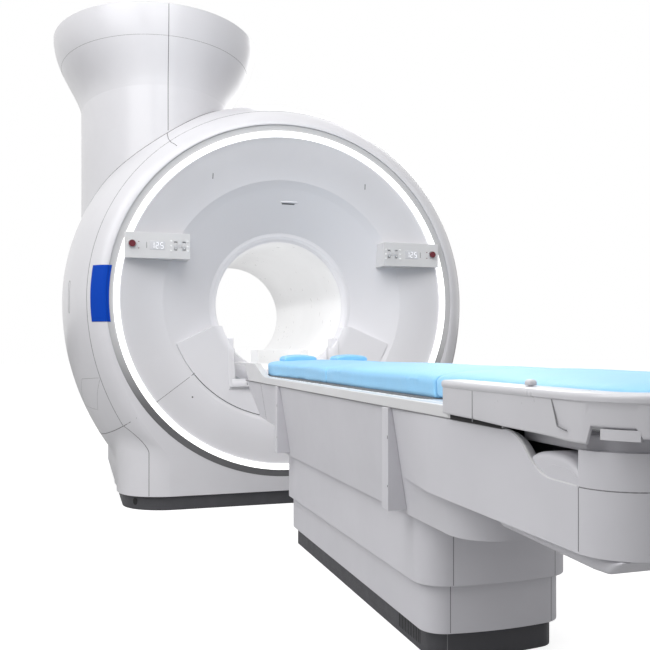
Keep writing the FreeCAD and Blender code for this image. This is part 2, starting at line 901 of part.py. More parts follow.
def apron_region():
    """All below the two ledges that slope away from the bore, seen from the front."""
    outer_x, inner_x = size.ledge_outer_x.value, size.ledge_inner_x.value
    outer_z, inner_z = size.ledge_outer_height.value, size.ledge_inner_height.value
    slope = (inner_z - outer_z) / (outer_x - inner_x)
    far_z = outer_z - slope * (FAR - outer_x)
    half = [(inner_x, inner_z), (FAR, far_z), (FAR, -FAR)]
    corners = half + [(-x, z) for x, z in reversed(half)]
    points = [Vector(x, -FAR, z) for x, z in corners]
    face = Part.Face(Part.makePolygon(points + points[:1]))
    below = face.extrude(Vector(0, 2 * FAR, 0))
    ring_axis = Vector(0, -FAR, size.ring_height.value)
    radius = size.lower_zone_radius.value
    return below.common(Part.makeCylinder(radius, 2 * FAR, ring_axis, Vector(0, 1, 0)))


def bay_room():
    """The space that the tabletop and its carriage pass through on the way to the bore."""
    half = size.bay_half_width
    return block(x=(-half, half), z=(size.bay_floor_height, FAR))


def make_skirts():
    """The dark plinth under the casing."""
    inset, corner = size.skirt_inset, size.base_corner_radius
    half = size.base_half_width - inset
    y = (behind(size.base_front_inset + inset / 2), size.rear_reach - inset)
    wall = size.skirt_wall
    outer = rounded((-half, half), y, corner)
    inner = rounded((wall - half, half - wall), (y[0] + wall, y[1] - wall), corner - wall)
    walls = pad("skirt_walls", "XY_Plane", [outer, inner], 0, size.skirt_height)
    reach = size.skirt_flange_reach
    wide = half + reach
    y_wide = (behind(size.base_front_inset + size.skirt_flange_inset), y[1] + reach)
    rim = rounded((-wide, wide), y_wide, corner)
    flange = pad(
        "skirt_flange",
        "XY_Plane",
        [rim, inner],
        size.skirt_height - size.skirt_flange_thickness,
        size.skirt_height,
    )
    keep(joined("casing_skirt", [walls, flange]))


def front_relief():
    """A turned body that holds all that lies behind the front's visible surface."""
    gap = size.seat_gap * 2
    rim = size.ring_inner_radius - size.ring_overlap
    outline = [
        (behind(-gap), size.casing_radius),
        (behind(-gap), rim),
        (behind(size.ring_thickness - gap), rim),
        (behind(size.dish_knee_depth - gap), size.dish_knee_radius),
        (behind(size.funnel_depth - gap), size.funnel_radius),
        (behind(size.throat_depth - gap), size.throat_radius),
        (behind(size.mouth_depth - gap), size.bore_radius),
        (as_size(0), size.bore_radius),
        (as_size(0), size.casing_radius),
    ]
    return turned("front_relief", outline, size.ring_height)


def make_panels():
    """Two control panels on the dish, each with a stop button and a cluster of five keys."""
    relief = front_relief()
    gap = size.running_gap
    face = behind(-size.panel_reach)
    key_back = face + size.key_depth
    for name, side in SIDES:
        rough = box(
            f"panel_block_{name}",
            mirrored((size.panel_inner_x, size.panel_outer_x), side),
            (face, behind(size.throat_depth)),
            (size.panel_low_height, size.panel_high_height),
        )
        seated = cut(f"panel_seated_{name}", rough, relief)
        stop = (size.stop_x * side, size.stop_height)
        stem_length = size.stop_travel + size.key_depth
        holes = [
            rod(
                f"stop_hole_{name}",
                "y",
                (stop[0], face - 1, stop[1]),
                stem_length + size.stop_travel + 1,
                size.stop_stem_radius + gap,
            )
        ]
        stem = rod(
            f"stop_stem_{name}",
            "y",
            (stop[0], face - size.stop_travel - gap, stop[1]),
            stem_length,
            size.stop_stem_radius,
        )
        head = rod(
            f"stop_head_{name}",
            "y",
            (stop[0], face - size.stop_travel - gap - size.stop_head_thickness, stop[1]),
            size.stop_head_thickness,
            size.stop_head_radius,
        )
        button = joined(f"stop_button_{name}", [stem, head])
        keys = []
        middle = (size.key_x * side, size.key_height)
        key_y = (face - size.key_proud, key_back - gap)
        pocket_y = (face - 1, key_back + size.key_travel)
        tall = size.key_tall / 2
        for place_name, sign in (("inner", -1), ("outer", 1)):
            x = middle[0] + size.key_pitch_x * (sign * side)
            half = size.key_width / 2
            rough = box(
                f"rocker_block_{place_name}_{name}",
                (x - half, x + half),
                key_y,
                (middle[1] - tall, middle[1] + tall),
            )
            pivot = rod(
                f"rocker_swing_{place_name}_{name}",
                "x",
                (x - half, key_y[0] + tall, middle[1]),
                size.key_width,
                tall,
            )
            keys.append(common(f"rocker_{place_name}_{name}", rough, pivot))
            holes.append(
                box(
                    f"pocket_{place_name}_{name}",
                    (x - half - gap, x + half + gap),
                    pocket_y,
                    (middle[1] - tall - gap, middle[1] + tall + gap),
                )
            )
        keys.append(
            rod(
                f"key_enable_{name}",
                "y",
                (middle[0], key_y[0], middle[1]),
                key_y[1] - key_y[0],
                size.oval_key_radius,
            )
        )
        holes.append(
            rod(
                f"pocket_enable_{name}",
                "y",
                (middle[0], pocket_y[0], middle[1]),
                pocket_y[1] - pocket_y[0],
                size.oval_key_radius + gap,
            )
        )
        tools = joined(f"panel_holes_{name}", holes)
        keep(cut(f"control_panel_{name}", seated, tools))
        keep(button)
        for key in keys:
            keep(key)


def make_bore_fittings():
    """Bridge rails in the bore and the coil connector blocks beside the bay."""
    gap = size.seat_gap
    clear_length = size.front_reach + size.rear_reach
    bore_room = rod(
        "bore_room",
        "y",
        (as_size(0), -size.front_reach, size.bore_height),
        clear_length,
        size.bore_radius - gap,
    )
    start = behind(size.mouth_depth) + size.cover_wall + gap
    end = size.rear_reach - size.rear_mouth_depth
    rails, connectors = [], []
    for name, side in SIDES:
        rough = box(
            f"bridge_block_{name}",
            mirrored((size.bridge_inner_x, size.bridge_outer_x), side),
            (start, end),
            (size.bore_height - size.bore_radius, size.bridge_top_height),
        )
        rails.append(common(f"bridge_rail_{name}", rough, bore_room))
        x = mirrored((size.connector_inner_x, size.bay_half_width - gap), side)
        y = behind(size.throat_depth)
        connectors.append(
            box(
                f"coil_connector_{name}",
                x,
                (y - size.connector_length / 2, y + size.connector_length / 4),
                (size.connector_low_height, size.connector_high_height),
            )
        )
    keep(group("bridge_rails", rails))
    keep(group("coil_connectors", connectors))


def rear_dish():
    """The shallow dish round the rear end of the bore."""
    wall, rear = size.cover_wall.value, size.rear_reach.value
    mouth = rear - size.rear_mouth_depth.value
    wide = size.rear_opening_radius.value
    narrow = (size.bore_radius + size.liner_wall + size.seat_gap).value
    section = [(rear - wall, wide), (rear, wide), (mouth, narrow), (mouth - wall, narrow)]
    points = [Vector(0, y, size.bore_height.value + radius) for y, radius in section]
    face = Part.Face(Part.makePolygon(points + points[:1]))
    return face.revolve(Vector(0, 0, size.bore_height.value), Vector(0, 1, 0), 360)


# ---------------------------------------------------------------------------------------------
# Patient table
# ---------------------------------------------------------------------------------------------


def tier_plan(step, offset=0):
    """Plan of the plinth, wider by a number of steps and an offset: its foot end is bowed."""
    sideways = size.tier_step * step + offset
    forwards = size.tier_front_step * step + offset
    half = size.pedestal_half_width + sideways
    front = ahead(size.pedestal_gap) + forwards
    corner = size.pedestal_front_radius + forwards
    end = ahead(size.pedestal_gap + size.pedestal_length) - sideways
    end_corner = size.pedestal_end_radius + sideways
    bow = size.pedestal_end_bow + sideways
    across = half - end_corner
    reach = bow - end_corner
    drop = (reach * reach - across * across).root()
    hub = end + bow
    meet = (across * bow / reach, hub - drop * bow / reach)
    return [
        (half, hub - drop),
        (half, front - corner, arc(corner, 1)),
        (half - corner, front),
        (corner - half, front, arc(corner, 1)),
        (-half, front - corner),
        (-half, hub - drop, arc(end_corner, 1)),
        (-meet[0], meet[1], arc(bow, 1)),
        (meet[0], meet[1], arc(end_corner, 1)),
    ]


def shroud(label, step, low, high):
    """One telescoping shroud; a lip at its lower edge slides on the next smaller one."""
    inside = tier_plan(step, -size.tier_wall)
    whole = keep(pad(label, "XY_Plane", [tier_plan(step), inside], low, high))
    if step:
        lip_inside = tier_plan(step - 1, size.running_gap)
        sketch = sketched(whole, "XY_Plane", [inside, lip_inside])
        feature = whole.newObject("PartDesign::Pad", label + "_lip")
        feature.Profile = sketch
        bind(feature, Length=size.tier_lip)
        bind(sketch, AttachmentOffset__Base__z=(low - high) / 2)
    return whole


def make_pedestal():
    """Floor duct, base plate, plinth, shrouds and telescopic columns."""
    duct_y = (ahead(size.pedestal_gap), behind(size.base_front_inset + size.skirt_inset / 2))
    keep(
        box(
            "floor_duct",
            (size.duct_inner_x, size.duct_outer_x),
            (duct_y[0] + size.seat_gap, duct_y[1] - size.seat_gap),
            (as_size(0), size.duct_height),
        )
    )
    shroud("table_plinth", 0, as_size(0), size.pedestal_upstand)
    shroud("lower_shroud", 1, size.tier_a_bottom, size.tier_a_top)
    shroud("upper_shroud", 2, size.tier_b_bottom, size.tier_b_top)
    plan = tier_plan(0, -size.tier_wall - size.seat_gap)
    plate = pad("table_base_plate", "XY_Plane", [plan], 0, size.base_plate_thickness)
    frame = box(
        "frame_beam",
        (-size.frame_half_width, size.frame_half_width),
        (ahead(size.frame_end), ahead(size.frame_start)),
        (size.frame_height, size.deck_height),
    )
    wall, gap = size.column_wall, size.running_gap
    tubes = (
        ("outer", size.column_radius, size.base_plate_thickness, size.column_top),
        ("middle", size.column_mid_radius, size.column_mid_bottom, size.column_mid_top),
        ("inner", size.column_inner_radius, size.column_inner_bottom, size.frame_height),
    )
    columns = {}
    for name, radius, low, high in tubes:
        columns[name] = []
        for where, y in (("front", size.column_y_front), ("rear", size.column_y_rear)):
            start = (as_size(0), ahead(y), low)
            solid = rod(f"column_{name}_{where}_solid", "z", start, high - low, radius)
            hole = rod(f"column_{name}_{where}_hole", "z", start, high - low, radius - wall - gap)
            columns[name].append(cut(f"column_{name}_{where}", solid, hole))
    keep(joined("table_base", [plate] + columns["outer"]))
    keep(group("column_middle", columns["middle"]))
    keep(joined("lift_frame", [frame] + columns["inner"]))


def rounded_plan(half, y, corner, height, ends=2):
    """A flat rectangle with round corners at its foot end, and at its other end if ends is 2."""
    solid = Part.makeBox(2 * half, y[1] - y[0], 1.0, Vector(-half, y[0], height))
    uprights = [e for e in solid.Edges if abs(e.tangentAt(e.FirstParameter).z) > 0.9]
    if ends == 1:
        uprights = [e for e in uprights if e.CenterOfMass.y < (y[0] + y[1]) / 2]
    solid = solid.makeFillet(corner, uprights)
    return min(solid.Faces, key=lambda face: face.CenterOfMass.z)


def loft_of_quads(quads):
    """A straight-sided solid between two upright four-cornered outlines."""
    wires = [Part.makePolygon(corners + corners[:1]) for corners in quads]
    return Part.makeLoft(wires, True, True)


def body_solid(inset, lift, drop):
    """The table body moved inwards by inset; lift and drop carry its top and bottom further."""
    bottom, top = size.body_bottom.value, size.rail_height.value
    half_low = (size.pedestal_half_width + size.tier_step * 3).value
    spread = (size.body_half_width.value - half_low) / (top - bottom)
    front = (ahead(size.pedestal_gap) + size.tier_front_step * 3).value - inset
    back = ahead(size.body_foot).value + inset
    corner = size.body_foot_radius.value - inset

    def half_at(height):
        return half_low + spread * (height - bottom) - inset

    heights = (bottom - drop, top + lift)
    wires = [rounded_plan(half_at(z), (back, front), corner, z, 1).OuterWire for z in heights]
    collar = Part.makeLoft(wires, True, True)
    belly = size.belly_height.value + inset
    tip = ahead(size.body_nose).value - inset * 1.3
    lip = size.overhang_low.value + inset
    side_view = [
        (tip, top),
        (tip, top + lift),
        (back + corner, top + lift),
        (back + corner, belly),
        (front + inset + 1, belly - 60),
        (ahead(size.overhang_root).value, lip - 22),
        (ahead(size.overhang_start).value - inset, lip),
    ]
    if not lift:
        side_view.pop(1)
    points = [Vector(-FAR, *point) for point in side_view]
    nose = Part.Face(Part.makePolygon(points + points[:1])).extrude(Vector(2 * FAR, 0, 0))
    trapezium = [(half_at(z), z) for z in (bottom - 200, top + lift)]
    trapezium += [(-x, z) for x, z in reversed(trapezium)]
    points = [Vector(x, -FAR, z) for x, z in trapezium]
    wedge = Part.Face(Part.makePolygon(points + points[:1])).extrude(Vector(0, 2 * FAR, 0))
    nose = nose.common(wedge)
    fin_end = ahead(size.fin_rear + size.fin_length).value
    upright = ahead(size.body_foot - size.body_foot_radius).value
    half = (size.body_half_width + size.body_bulge).value - inset
    quads = []
    for y, low_half, high_half in ((fin_end, half_at(belly), half_at(top + lift)), (upright, half, half)):
        corners = [(low_half, belly), (high_half, top + lift), (-high_half, top + lift), (-low_half, belly)]
        quads.append([Vector(x, y, z) for x, z in corners])
    flare = loft_of_quads(quads)
    end_y = ahead(size.table_end).value + inset
    plan = rounded_plan(half, (end_y, upright), size.end_corner_radius.value - inset, belly, 1)
    foot = plan.extrude(Vector(0, 0, top + lift - belly))
    return collar.fuse([nose, flare, foot])


def make_body():
    """Side panels, gantry end and foot end of the lifting table body."""
    wall = size.body_wall.value
    bottom = size.body_bottom.value
    outer = body_solid(0.0, 0.0, 0.0)
    shell = outer.cut(body_solid(wall, 200.0, 80.0))
    hole = pad("collar_hole", "XY_Plane", [tier_plan(2, size.running_gap)], 0, size.rail_height)
    document.recompute()
    lip = outer.common(block(z=(bottom, bottom + size.tier_lip.value))).cut(hole.Shape)
    shell = shell.fuse(lip)
    foot = block(y=(-FAR, ahead(size.foot_seam)))
    gantry = block(y=(ahead(size.gantry_seam), FAR))
    top = size.foot_cover_top.value
    closed = [
        outer.common(foot).common(block(z=(top - wall, top))),
        outer.common(block(y=(ahead(size.foot_seam) - wall, ahead(size.foot_seam)), z=(deck_low(), top))),
        foot_deck(),
    ]
    cover = shell.common(foot).cut(block(z=(top, FAR)))
    keep(shaped("foot_end_cover", cover.fuse(closed)))
    half = size.carriage_half_width + size.end_channel_margin
    channel = block(x=(-half, half), z=(size.deck_height + size.guide_height, FAR))
    keep(shaped("gantry_end_cover", shell.common(gantry).cut(channel)))
    rest = shell.cut([foot, gantry]).cut(dip_tool())
    for name, side in SIDES:
        keep(shaped(f"side_panel_{name}", rest.common(block(x=(0, side * FAR)))))
    return outer


def deck_low():
    """Height of the underside of the deck that closes the dip."""
    return size.dip_height.value - size.dip_deck_drop.value


def foot_deck():
    """The deck between the side panels' dips, with a hump before the foot end cover."""
    seam, low = ahead(size.foot_seam).value, deck_low()
    high = low + size.body_wall.value
    crest = size.dip_hump_top.value
    run = size.dip_hump_length.value
    side_view = [
        (seam, low),
        (seam, crest - run / 12),
        (seam + run * 0.25, crest),
        (seam + run * 0.5, crest),
        (seam + run, high),
        (ahead(size.rail_end + size.body_wall).value, high),
        (ahead(size.rail_end + size.body_wall).value, low),
    ]
    points = [Vector(-FAR, *point) for point in side_view]
    profile = Part.Face(Part.makePolygon(points + points[:1])).extrude(Vector(2 * FAR, 0, 0))
    return profile.common(body_solid(size.body_wall.value + size.seat_gap.value, 200.0, 80.0))


def dip_tool():
    """What is cut away above the S-curve of the side panels' top edge, near the foot end."""
    top, low = size.rail_height.value, size.dip_height.value
    start, end = ahead(size.dip_start).value, ahead(size.table_end).value
    run, fall = size.dip_run.value, top - low
    radius = (run**2 + fall**2) / (4 * fall)
    turn = math.asin(run / 2 / radius) / 2
    middle = Vector(-FAR, start - run / 2, (top + low) / 2)
    across, down = radius * math.sin(turn), radius * (1 - math.cos(turn))
    first = Vector(-FAR, start, top)
    last = Vector(-FAR, start - run, low)
    crest = Vector(-FAR, start - across, top - down)
    hollow = Vector(-FAR, start - run + across, low + down)
    edges = [Part.Arc(first, crest, middle).toShape(), Part.Arc(middle, hollow, last).toShape()]
    above = top + 2 * fall
    corners = [last, Vector(-FAR, end, low), Vector(-FAR, end, above), Vector(-FAR, start, above), first]
    edges += [Part.makeLine(*pair) for pair in zip(corners, corners[1:])]
    return Part.Face(Part.Wire(edges)).extrude(Vector(2 * FAR, 0, 0))


def rail_x(side):
    """X bounds of a top rail, beside the tabletop."""
    inner = size.tabletop_half_width + size.running_gap
    return mirrored((inner, inner + size.rail_width), side)


def make_table_frame(body):
    """What the side panels hang on, and what carries the tabletop."""
    top = size.rail_height
    for name, side in SIDES:
        rail_top = top + size.rail_depth
        profile = [
            (ahead(size.rail_end), top + size.seat_gap),
            (ahead(size.nose_reach + size.body_nose), top + size.seat_gap),
            (ahead(size.nose_reach), top + size.nose_rise - size.rail_width),
            (ahead(size.nose_reach), top + size.nose_rise),
            (ahead(size.nose_top_length), top + size.nose_rise),
            (ahead(size.nose_slope_end), rail_top),
            (ahead(size.rail_end), rail_top),
        ]
        keep(pad(f"top_rail_{name}", "YZ_Plane", [profile], *rail_x(side)))
    deck_x = (-size.deck_half_width, size.deck_half_width)
    deck_top = size.deck_height + size.deck_thickness
    deck_y = (ahead(size.rail_end), ahead(size.overhang_start))
    pieces = [box("deck_plate", deck_x, deck_y, (size.deck_height, deck_top))]
    for name, side in SIDES:
        x = mirrored((size.guide_inner_x, size.guide_inner_x + size.guide_width), side)
        guide = box(f"carriage_guide_{name}", x, deck_y, (deck_top, deck_top + size.guide_height))
        pieces.append(guide)
    keep(joined("table_deck", pieces))
    tray_x = (-size.tray_half_width, size.tray_half_width)
    belly = size.belly_height - size.seat_gap
    tray = [
        (ahead(size.tray_start), belly),
        (ahead(size.table_end - 15), belly),
        (ahead(size.table_end - 50), size.tray_low + 2),
        (ahead(size.table_end - 100), size.tray_low),
        (ahead(size.tray_start + 25), size.tray_low + 9),
    ]
    keep(pad("lower_tray", "YZ_Plane", [tray], *tray_x))
    fins = []
    for name, side in SIDES:
        for where, start in (("front", size.fin_front), ("rear", size.fin_rear)):
            x = mirrored((size.fin_inner_x, size.fin_outer_x), side)
            room = block(
                x=x,
                y=(ahead(start + size.fin_length), ahead(start)),
                z=(size.fin_bottom, top - size.seat_gap),
            )
            fins += room.cut(body).Solids
    keep(shaped("side_fins", Part.Compound(fins)))


def make_tabletop():
    """Carriage, tabletop, mattress, pads and the tub at the foot end."""
    gap = size.running_gap
    carriage_low = size.deck_height + size.deck_thickness + size.guide_height + gap
    carriage_high = carriage_low + size.carriage_thickness
    half = size.carriage_half_width
    y = (ahead(size.carriage_start + size.carriage_length), ahead(size.carriage_start))
    slab = box("carriage_slab", (-half, half), y, (carriage_low, carriage_high))
    windows = []
    count = 4
    pitch = size.carriage_length / count
    for index in range(count):
        start = y[0] + pitch * index
        windows.append(
            box(
                f"carriage_window_{index}",
                (-half + 60, half - 60),
                (start + 50, start + pitch - 50),
                (carriage_low - 1, carriage_high + 1),
            )
        )
    keep(cut("carriage", slab, joined("carriage_windows", windows)))
    flat, edge = size.tabletop_flat_half_width, size.tabletop_half_width
    slider = size.slider_half_width
    low, side, top = size.tabletop_bottom, size.tabletop_edge, size.tabletop_top
    runner = carriage_high + gap
    half_profile = [(slider, runner), (slider, low), (flat, low), (edge, side), (edge, top)]
    profile = half_profile + [(-x, z) for x, z in reversed(half_profile)]
    y = (ahead(size.tabletop_end), ahead(size.tabletop_start))
    keep(pad("tabletop", "XZ_Plane", [profile], *y))
    make_mattress()
    make_tub()


def cushion(label, middle, y, half, heights, tips):
    """A crowned pad lofted along Y, with round upper edges and sides drawn in.

    tips are how much narrower, on each side, its foot end and its head end are.
    """
    low, high = heights
    crown, edge = size.cushion_crown.value, size.cushion_edge_radius.value
    sag, dip = size.cushion_draw.value, size.cushion_end_dip.value
    length = y[1] - y[0]
    turn = min(size.cushion_turn.value, length / 4)
    stations = (
        (0.0, tips[0], dip),
        (turn, tips[0] * 0.2, dip * 0.2),
        (length / 2, sag, 0.0),
        (length - turn, tips[1] * 0.2, dip * 0.2),
        (length, tips[1], dip),
    )
    wires = []
    for along, narrow, drop in stations:
        wide = half - narrow
        shoulder = high - crown - drop
        corner = edge * (1 - math.sqrt(0.5))
        belt = (low + shoulder - edge) / 2

        def at(x, z, at_y=y[0] + along):
            return Vector(middle + x, at_y, z)

        right = [
            Part.Arc(at(wide, low), at(wide - sag, belt), at(wide, shoulder - edge)),
            Part.Arc(
                at(wide, shoulder - edge), at(wide - corner, shoulder - corner), at(wide - edge, shoulder)
            ),
        ]
        top = Part.Arc(at(wide - edge, shoulder), at(0, high - drop), at(edge - wide, shoulder))
        left = [
            Part.Arc(
                at(edge - wide, shoulder), at(corner - wide, shoulder - corner), at(-wide, shoulder - edge)
            ),
            Part.Arc(at(-wide, shoulder - edge), at(sag - wide, belt), at(-wide, low)),
        ]
        arcs = [piece.toShape() for piece in right + [top] + left]
        wires.append(Part.Wire(arcs + [Part.makeLine(at(-wide, low), at(wide, low))]))
    return shaped(label, Part.makeLoft(wires, True, False))


def make_mattress():
    """Three mattress sections and two pads, each crowned and with its sides drawn in."""
    gap = size.running_gap.value
    half = size.mattress_half_width.value
    low, high = size.tabletop_top.value + gap, size.mattress_top.value
    tip, blunt = size.mattress_tip.value, size.cushion_draw.value
    foot_low = low + size.tub_floor_thickness.value
    sections = (
        ("mattress_head", size.tabletop_start + 10, size.mattress_seam_head, low, (blunt, tip)),
        ("mattress_middle", size.mattress_seam_head, size.mattress_seam_foot, low, (blunt, blunt)),
        ("mattress_foot", size.mattress_seam_foot, size.mattress_end, foot_low, (tip, blunt)),
    )
    for name, start, end, bottom, tips in sections:
        y = (ahead(end).value + gap, ahead(start).value - gap)
        keep(cushion(name, 0, y, half, (bottom, high), tips))
    head = next(o for o in kept if o.Name == "mattress_head").Shape.copy()
    head.translate(Vector(0, 0, gap))
    for name, side in SIDES:
        y = (ahead(size.pad_y + size.pad_length).value, ahead(size.pad_y).value)
        heights = (high - size.cushion_crown.value, high + size.pad_height.value)
        middle = size.pad_x.value * side
        tips = (blunt, blunt)
        rough = cushion(f"pad_block_{name}", middle, y, size.pad_width.value / 2, heights, tips)
        keep(shaped(f"arm_pad_{name}", rough.Shape.cut(head)))


def tub_plan(inset):
    """Plan of the tub: it flares outwards from the rails and has round corners at the foot."""
    narrow = rail_x(1)[1] + size.running_gap * 2 + size.tub_wall - inset
    wide = size.tub_half_width - inset
    corner = size.tub_corner_radius - inset
    start, flare = ahead(size.tub_start), ahead(size.tub_flare_end)
    end = ahead(size.tub_end - inset)
    return [
        (narrow, start),
        (-narrow, start),
        (-wide, flare),
        (-wide, end + corner, arc(corner, 1)),
        (-wide + corner, end),
        (wide - corner, end, arc(corner, 1)),
        (wide, end + corner),
        (wide, flare),
    ]


def make_tub():
    """The tub round the foot end of the mattress, with its bracket and release knob."""
    wall = size.tub_wall
    floor = size.tabletop_top
    outer = pad("tub_block", "XY_Plane", [tub_plan(as_size(0))], size.tub_bottom, size.tub_top)
    inside = pad(
        "tub_inside",
        "XY_Plane",
        [tub_plan(wall)],
        floor + size.tub_floor_thickness,
        size.tub_top + 10,
    )
    under = pad("tub_under", "XY_Plane", [tub_plan(wall)], size.tub_bottom - 10, floor)
    knob_x = -(size.tub_half_width - size.tub_wall - size.knob_radius - 12)
    hollows = [inside, under]
    for name, side in SIDES:
        rail = rail_x(1)
        hollows.append(
            box(
                f"rail_room_{name}",
                mirrored((rail[0] - size.running_gap, rail[1] + size.running_gap), side),
                (ahead(size.tub_end + 1), ahead(size.tub_start - 1)),
                (size.tub_bottom - 1, size.rail_height + size.rail_depth + size.running_gap),
            )
        )
    shell = cut("tub_shell", outer, joined("tub_hollows", hollows))
    top = next(o for o in kept if o.Name == "tabletop")
    brackets = []
    for name, side in SIDES:
        rough = box(
            f"bracket_block_{name}",
            mirrored((size.bracket_inner_x, size.bracket_outer_x), side),
            (ahead(size.bracket_end), ahead(size.bracket_start)),
            (size.bracket_bottom, size.tabletop_edge),
        )
        brackets.append(cut(f"bracket_{name}", rough, top))
    keep(group("foot_tub", [shell] + brackets))
    base = (knob_x, ahead(size.knob_y), floor + size.tub_floor_thickness)
    keep(
        rod(
            "release_knob",
            "z",
            (base[0], base[1], base[2] + size.running_gap),
            size.tub_top - base[2] + size.knob_height,
            size.knob_radius,
        )
    )


# ---------------------------------------------------------------------------------------------
# Build and write
# ---------------------------------------------------------------------------------------------


def write_parts():
    """Checks every object and writes each sub-part to its own file."""
    document.recompute()
    for thing in document.Objects:
        if "Invalid" in thing.State or "Error" in thing.State:
            raise RuntimeError(f"{thing.Label} failed: {thing.State}")
    os.makedirs("parts", exist_ok=True)
    for thing in kept:
        shape = thing.Shape
        if shape.isNull() or not shape.isValid() or not shape.Solids:
            raise RuntimeError(f"{thing.Label} has no valid solid")
        shape.exportStep(os.path.join("parts", thing.Label + ".step"))
    print(f"{len(kept)} sub-parts written")


make_casing()
make_chimney()
make_magnet()
make_front()
make_skirts()
make_panels()
make_bore_fittings()
make_pedestal()
table_body = make_body()
make_table_frame(table_body)
make_tabletop()
write_parts()
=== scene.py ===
"""Looks of a whole-body MRI scanner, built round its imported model.

Every visible surface gets its finish here. Soft pieces and moulded covers are surfaces worked out
with numpy in metres, in the model's own frame: the origin lies on the floor under the middle of the
magnet, +Z is up, and +Y runs along the patient bore into the magnet.
"""

from __future__ import annotations

import json
import logging
import math
from dataclasses import dataclass, field, replace
from enum import Enum, IntEnum
from typing import Any, Iterable, Sequence

import bmesh
import bpy
import numpy as np
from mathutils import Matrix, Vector
from mathutils.bvhtree import BVHTree

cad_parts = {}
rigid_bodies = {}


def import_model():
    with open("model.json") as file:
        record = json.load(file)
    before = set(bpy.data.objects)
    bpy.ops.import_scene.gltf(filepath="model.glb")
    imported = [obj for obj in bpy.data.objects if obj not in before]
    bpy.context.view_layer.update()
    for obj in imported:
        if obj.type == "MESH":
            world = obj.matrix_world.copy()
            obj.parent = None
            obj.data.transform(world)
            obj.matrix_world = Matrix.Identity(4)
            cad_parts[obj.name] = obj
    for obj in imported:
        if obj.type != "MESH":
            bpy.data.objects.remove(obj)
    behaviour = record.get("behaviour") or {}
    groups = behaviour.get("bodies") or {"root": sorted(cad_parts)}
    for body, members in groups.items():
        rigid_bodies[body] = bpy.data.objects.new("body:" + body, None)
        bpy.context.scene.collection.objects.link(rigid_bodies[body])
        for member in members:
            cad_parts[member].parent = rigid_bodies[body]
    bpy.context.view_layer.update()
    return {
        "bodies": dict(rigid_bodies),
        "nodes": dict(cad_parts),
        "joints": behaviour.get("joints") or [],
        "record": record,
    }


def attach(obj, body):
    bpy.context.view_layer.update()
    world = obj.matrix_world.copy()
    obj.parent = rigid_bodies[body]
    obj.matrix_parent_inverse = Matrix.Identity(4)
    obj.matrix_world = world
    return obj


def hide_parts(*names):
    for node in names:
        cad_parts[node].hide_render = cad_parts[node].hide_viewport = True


LOG = logging.getLogger("scanner")
Pair = tuple[float, float]
Triple = tuple[float, float, float]
Colour = Triple
Direction = Triple
Laid = tuple[np.ndarray, np.ndarray]

WHITE: Colour = (1.0, 1.0, 1.0)
NO_LIGHT: Colour = (0.0, 0.0, 0.0)
NOWHERE: Direction = (0.0, 0.0, 0.0)
ACROSS: Direction = (1.0, 0.0, 0.0)
AHEAD: Direction = (0.0, 1.0, 0.0)
FRONTWARDS: Direction = (0.0, -1.0, 0.0)
UP: Direction = (0.0, 0.0, 1.0)
DOWN: Direction = (0.0, 0.0, -1.0)
BEFORE_FRONT = -1.3
WELD = 2e-5


class Side(IntEnum):
    """The two sides of the scanner, each the sign that x has there."""

    LEFT = -1
    RIGHT = 1

    @property
    def word(self) -> str:
        """The side as the pieces' names have it."""
        return self.name.lower()


# ---------------------------------------------------------------------------------------------
# Shader expressions
# ---------------------------------------------------------------------------------------------


class Tone:
    """A number in a shader. Python's operators on it add Math nodes."""

    def __init__(self, nodes: "Nodes", socket: bpy.types.NodeSocket) -> None:
        """Wraps one output socket.

        Args:
            nodes: The tree that the socket's node belongs to.
            socket: The output that gives the number.
        """
        self.nodes = nodes
        self.socket = socket

    def _join(self, operation: str, first: Any, second: Any) -> "Tone":
        """The result of a new Math node on two values, each a Tone or a number."""
        made = self.nodes.node("ShaderNodeMath", {"operation": operation}, {0: first, 1: second})
        return Tone(self.nodes, made.outputs[0])

    def __add__(self, other: Any) -> "Tone":
        """Sum."""
        return self._join("ADD", self, other)

    __radd__ = __add__

    def __sub__(self, other: Any) -> "Tone":
        """Difference."""
        return self._join("SUBTRACT", self, other)

    def __rsub__(self, other: Any) -> "Tone":
        """Difference from a plain number."""
        return self._join("SUBTRACT", other, self)

    def __mul__(self, other: Any) -> "Tone":
        """Product."""
        return self._join("MULTIPLY", self, other)

    __rmul__ = __mul__

    def __pow__(self, other: Any) -> "Tone":
        """Power."""
        return self._join("POWER", self, other)

    def ramp(self, low: float, high: float) -> "Tone":
        """Goes smoothly from 0 at low to 1 at high."""
        settings = {"interpolation_type": "SMOOTHSTEP", "clamp": True}
        values = {"Value": self, "From Min": low, "From Max": high}
        return Tone(self.nodes, self.nodes.node("ShaderNodeMapRange", settings, values).outputs["Result"])


